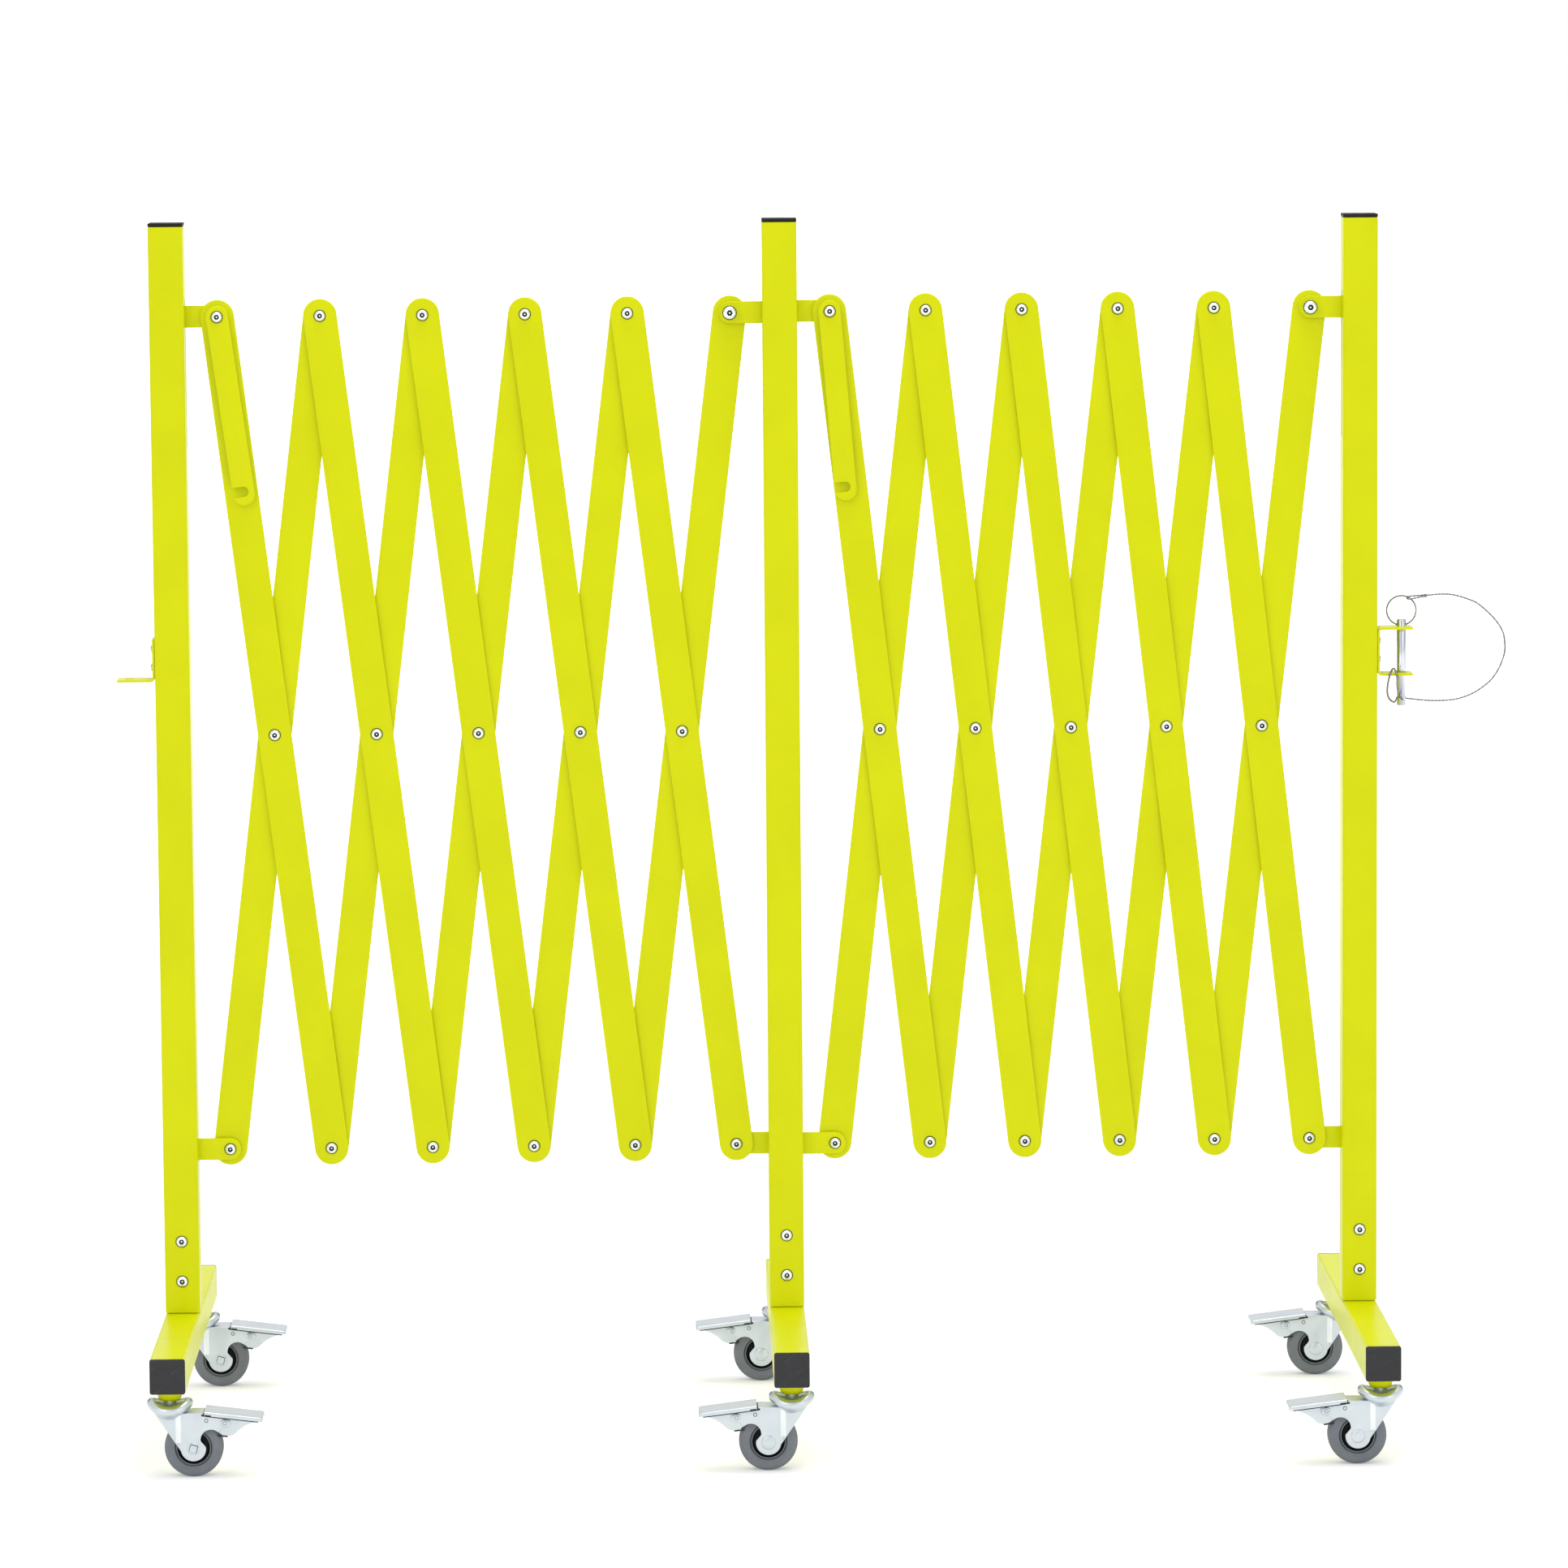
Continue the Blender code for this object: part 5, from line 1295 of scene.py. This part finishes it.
class BARRIER_OT_coupling(bpy.types.Operator):
    """Finish the two brackets and build the pin, its ring and its spring clip"""

    bl_idname = "barrier.coupling"
    bl_label = "Coupling"

    def execute(self, context):
        for bracket in ("receiver_bracket", "clevis_bracket"):
            dress(bracket, "powder_coat")
        for name, (stand, side, heights) in BRACKET_SCREWS.items():
            face = STAND_X[stand] + side * (TUBE_HALF + BRACKET_SHEET)
            screws = [
                [
                    [moved(tilted(shell, 90 * side, "Y"), face, 0, height) for shell in shells]
                    for shells in button_head(*BRACKET_HEAD)
                ]
                for height in heights
            ]
            add_piece(name, gathered(*screws, finish="polished_pin"), stand + "_stand")
        radii = [PIN_END, PIN_RADIUS - PIN_BREAK, PIN_RADIUS - PIN_ROUND, PIN_RADIUS]
        depths = np.array([0, 0, PIN_ROUND, PIN_BREAK])
        shaft = turned(radii + radii[::-1], [*(PIN_TOP - depths), *(PIN_LOW + depths[::-1])])
        shaft = moved(shaft, PIN_X)
        add_piece("coupling_pin_shaft", [("polished_pin", [shaft])], "coupling_pin", ["coupling_pin"])
        path = circle(RING_RADIUS - RING_WIRE, FINE_STEPS)
        path = np.column_stack([path[:, 0], np.zeros(FINE_STEPS), path[:, 1]])
        ring = carried(circle(RING_WIRE, WIRE_STEPS), path, (0, 1, 0), closed=True)
        ring = moved(ring, PIN_X, 0, RING_HEIGHT)
        add_piece("pull_ring_wire", [("spring_wire", [ring])], "coupling_pin", ["pull_ring"])
        width, elbow, rise = CLIP_LOOP
        points = [
            (0, PIN_RADIUS + 0.0016, 0),
            (0, 0, 0),
            (0, CLIP_PLANE + elbow, 0),
            (-elbow / 3, CLIP_PLANE + elbow / 3, elbow / 3),
            (-elbow, CLIP_PLANE, elbow),
        ]
        points += [(x * width, CLIP_PLANE + y * elbow, z * rise) for x, y, z in CLIP_SHARES]
        clip = carried(circle(CLIP_WIRE, CLIP_STEPS), smooth_route(points, 8), (1, 0, 0))
        clip = moved(clip, PIN_X, 0, CLIP_HEIGHT)
        add_piece("spring_clip_wire", [("spring_wire", [clip])], "spring_clip", ["spring_clip"])
        return {"FINISHED"}


def seen_rays(tree):
    """One for rays of the camera, and of metal and glass that show the background, nought for the rest."""
    path = add_node(tree, "LightPath").outputs
    shiny = add_node(tree, "Math", [(0, path["Is Glossy Ray"]), (1, path["Is Transmission Ray"])], operation="MAXIMUM")
    return add_node(tree, "Math", [(0, path["Is Camera Ray"]), (1, shiny)], operation="MAXIMUM")


def pale_floor(colour):
    """Matt floor: it takes the barrier's shadow near by, and turns white for seen rays far away."""
    finish = bpy.data.materials.new("pale_floor")
    finish.use_nodes = True
    tree = finish.node_tree
    tree.nodes.clear()
    place = add_node(tree, "TexCoord").outputs["Object"]
    away = add_node(tree, "VectorMath", [(0, place)], operation="LENGTH").outputs["Value"]
    far = add_node(tree, "MapRange", enumerate((away, *FLOOR_FADE)), interpolation_type="SMOOTHSTEP")
    share = add_node(tree, "Math", [(0, far), (1, seen_rays(tree))], operation="MULTIPLY")
    matt = add_node(tree, "BsdfDiffuse", [("Color", colour)])
    white = add_node(tree, "Emission", [("Color", WHITE), ("Strength", share)])
    both = add_node(tree, "AddShader", [(0, matt), (1, white)])
    add_node(tree, "OutputMaterial", [("Surface", both)])
    return finish


def studio_sky():
    """White all round for seen rays, plain light for the rest; the flags draw thin dark edges on bright steel."""
    world = bpy.data.worlds.new("studio")
    world.use_nodes = True
    tree = world.node_tree
    tree.nodes.clear()
    heading = add_node(tree, "TexCoord").outputs["Generated"]
    heading = add_node(tree, "SeparateXYZ", [("Vector", heading)]).outputs
    far_side = add_node(tree, "MapRange", enumerate((heading["Y"], *FLAG_BACK)))
    aside = add_node(tree, "Math", [(0, heading["X"])], operation="ABSOLUTE")
    off_middle = add_node(tree, "MapRange", enumerate((aside, *FLAG_ASIDE)))
    flag = add_node(tree, "Math", [(0, far_side), (1, off_middle)], operation="MULTIPLY")
    shiny = add_node(tree, "LightPath").outputs["Is Glossy Ray"]
    hidden = add_node(tree, "Math", [(0, flag), (1, shiny)], operation="MULTIPLY")
    dimmed = add_node(tree, "Math", enumerate((hidden, FLAG_DIMMING, 1.0)), operation="MULTIPLY_ADD")
    level = add_node(tree, "Mix", [(0, seen_rays(tree)), (2, SKY_LIGHT), (3, dimmed)], data_type="FLOAT")
    sky = add_node(tree, "Background", [("Color", WHITE), ("Strength", level)])
    add_node(tree, "OutputWorld", [("Surface", sky)])
    return world


class BARRIER_OT_stage(bpy.types.Operator):
    """Lay the pale floor, light the barrier softly and make the background white"""

    bl_idname = "barrier.stage"
    bl_label = "Stage"

    def execute(self, context):
        mesh = bpy.data.meshes.new("floor")
        corners = [(x * FLOOR_HALF, y * FLOOR_HALF, 0) for x, y in ((-1, -1), (1, -1), (1, 1), (-1, 1))]
        mesh.from_pydata(corners, [], [[0, 1, 2, 3]])
        mesh.materials.append(pale_floor(context.scene.barrier_colours.floor))
        floor = bpy.data.objects.new("floor", mesh)
        context.scene.collection.objects.link(floor)
        context.scene.world = studio_sky()
        for name, (place, size, power) in LAMPS.items():
            data = bpy.data.lights.new(name, "AREA")
            data.shape = "DISK"
            data.size = size
            data.energy = power
            lamp = bpy.data.objects.new(name, data)
            context.scene.collection.objects.link(lamp)
            lamp.location = place
            lamp.rotation_euler = (Vector(LIT_POINT) - Vector(place)).to_track_quat("-Z", "Y").to_euler()
        context.scene.view_settings.view_transform = "Standard"
        return {"FINISHED"}


OPERATORS = (
    BARRIER_OT_camera,
    BARRIER_OT_finishes,
    BARRIER_OT_lanyard,
    BARRIER_OT_posts,
    BARRIER_OT_legs,
    BARRIER_OT_slats,
    BARRIER_OT_arms,
    BARRIER_OT_casters,
    BARRIER_OT_coupling,
    BARRIER_OT_stage,
)


class BARRIER_PT_pieces(bpy.types.Panel):
    """Sizes, colours and builders of the barrier"""

    bl_label = "Safety barrier"
    bl_space_type = "VIEW_3D"
    bl_region_type = "UI"
    bl_category = "Barrier"

    def draw(self, context):
        for group in (context.scene.barrier_sizes, context.scene.barrier_colours):
            for name in group.__annotations__:
                self.layout.prop(group, name)
        for operator in OPERATORS:
            self.layout.operator(operator.bl_idname)


CLASSES = (BarrierColours, BarrierSizes, *OPERATORS, BARRIER_PT_pieces)


def register():
    """Makes the add-on's classes and settings known to Blender."""
    for known in CLASSES:
        bpy.utils.register_class(known)
    bpy.types.Scene.barrier_colours = PointerProperty(type=BarrierColours)
    bpy.types.Scene.barrier_sizes = PointerProperty(type=BarrierSizes)


def unregister():
    """Takes the add-on's classes and settings out of Blender."""
    del bpy.types.Scene.barrier_sizes
    del bpy.types.Scene.barrier_colours
    for known in reversed(CLASSES):
        bpy.utils.unregister_class(known)


def main():
    """Builds everything in order."""
    register()
    for operator in OPERATORS:
        group, name = operator.bl_idname.split(".")
        getattr(getattr(bpy.ops, group), name)()


if __name__ == "__main__":
    main()
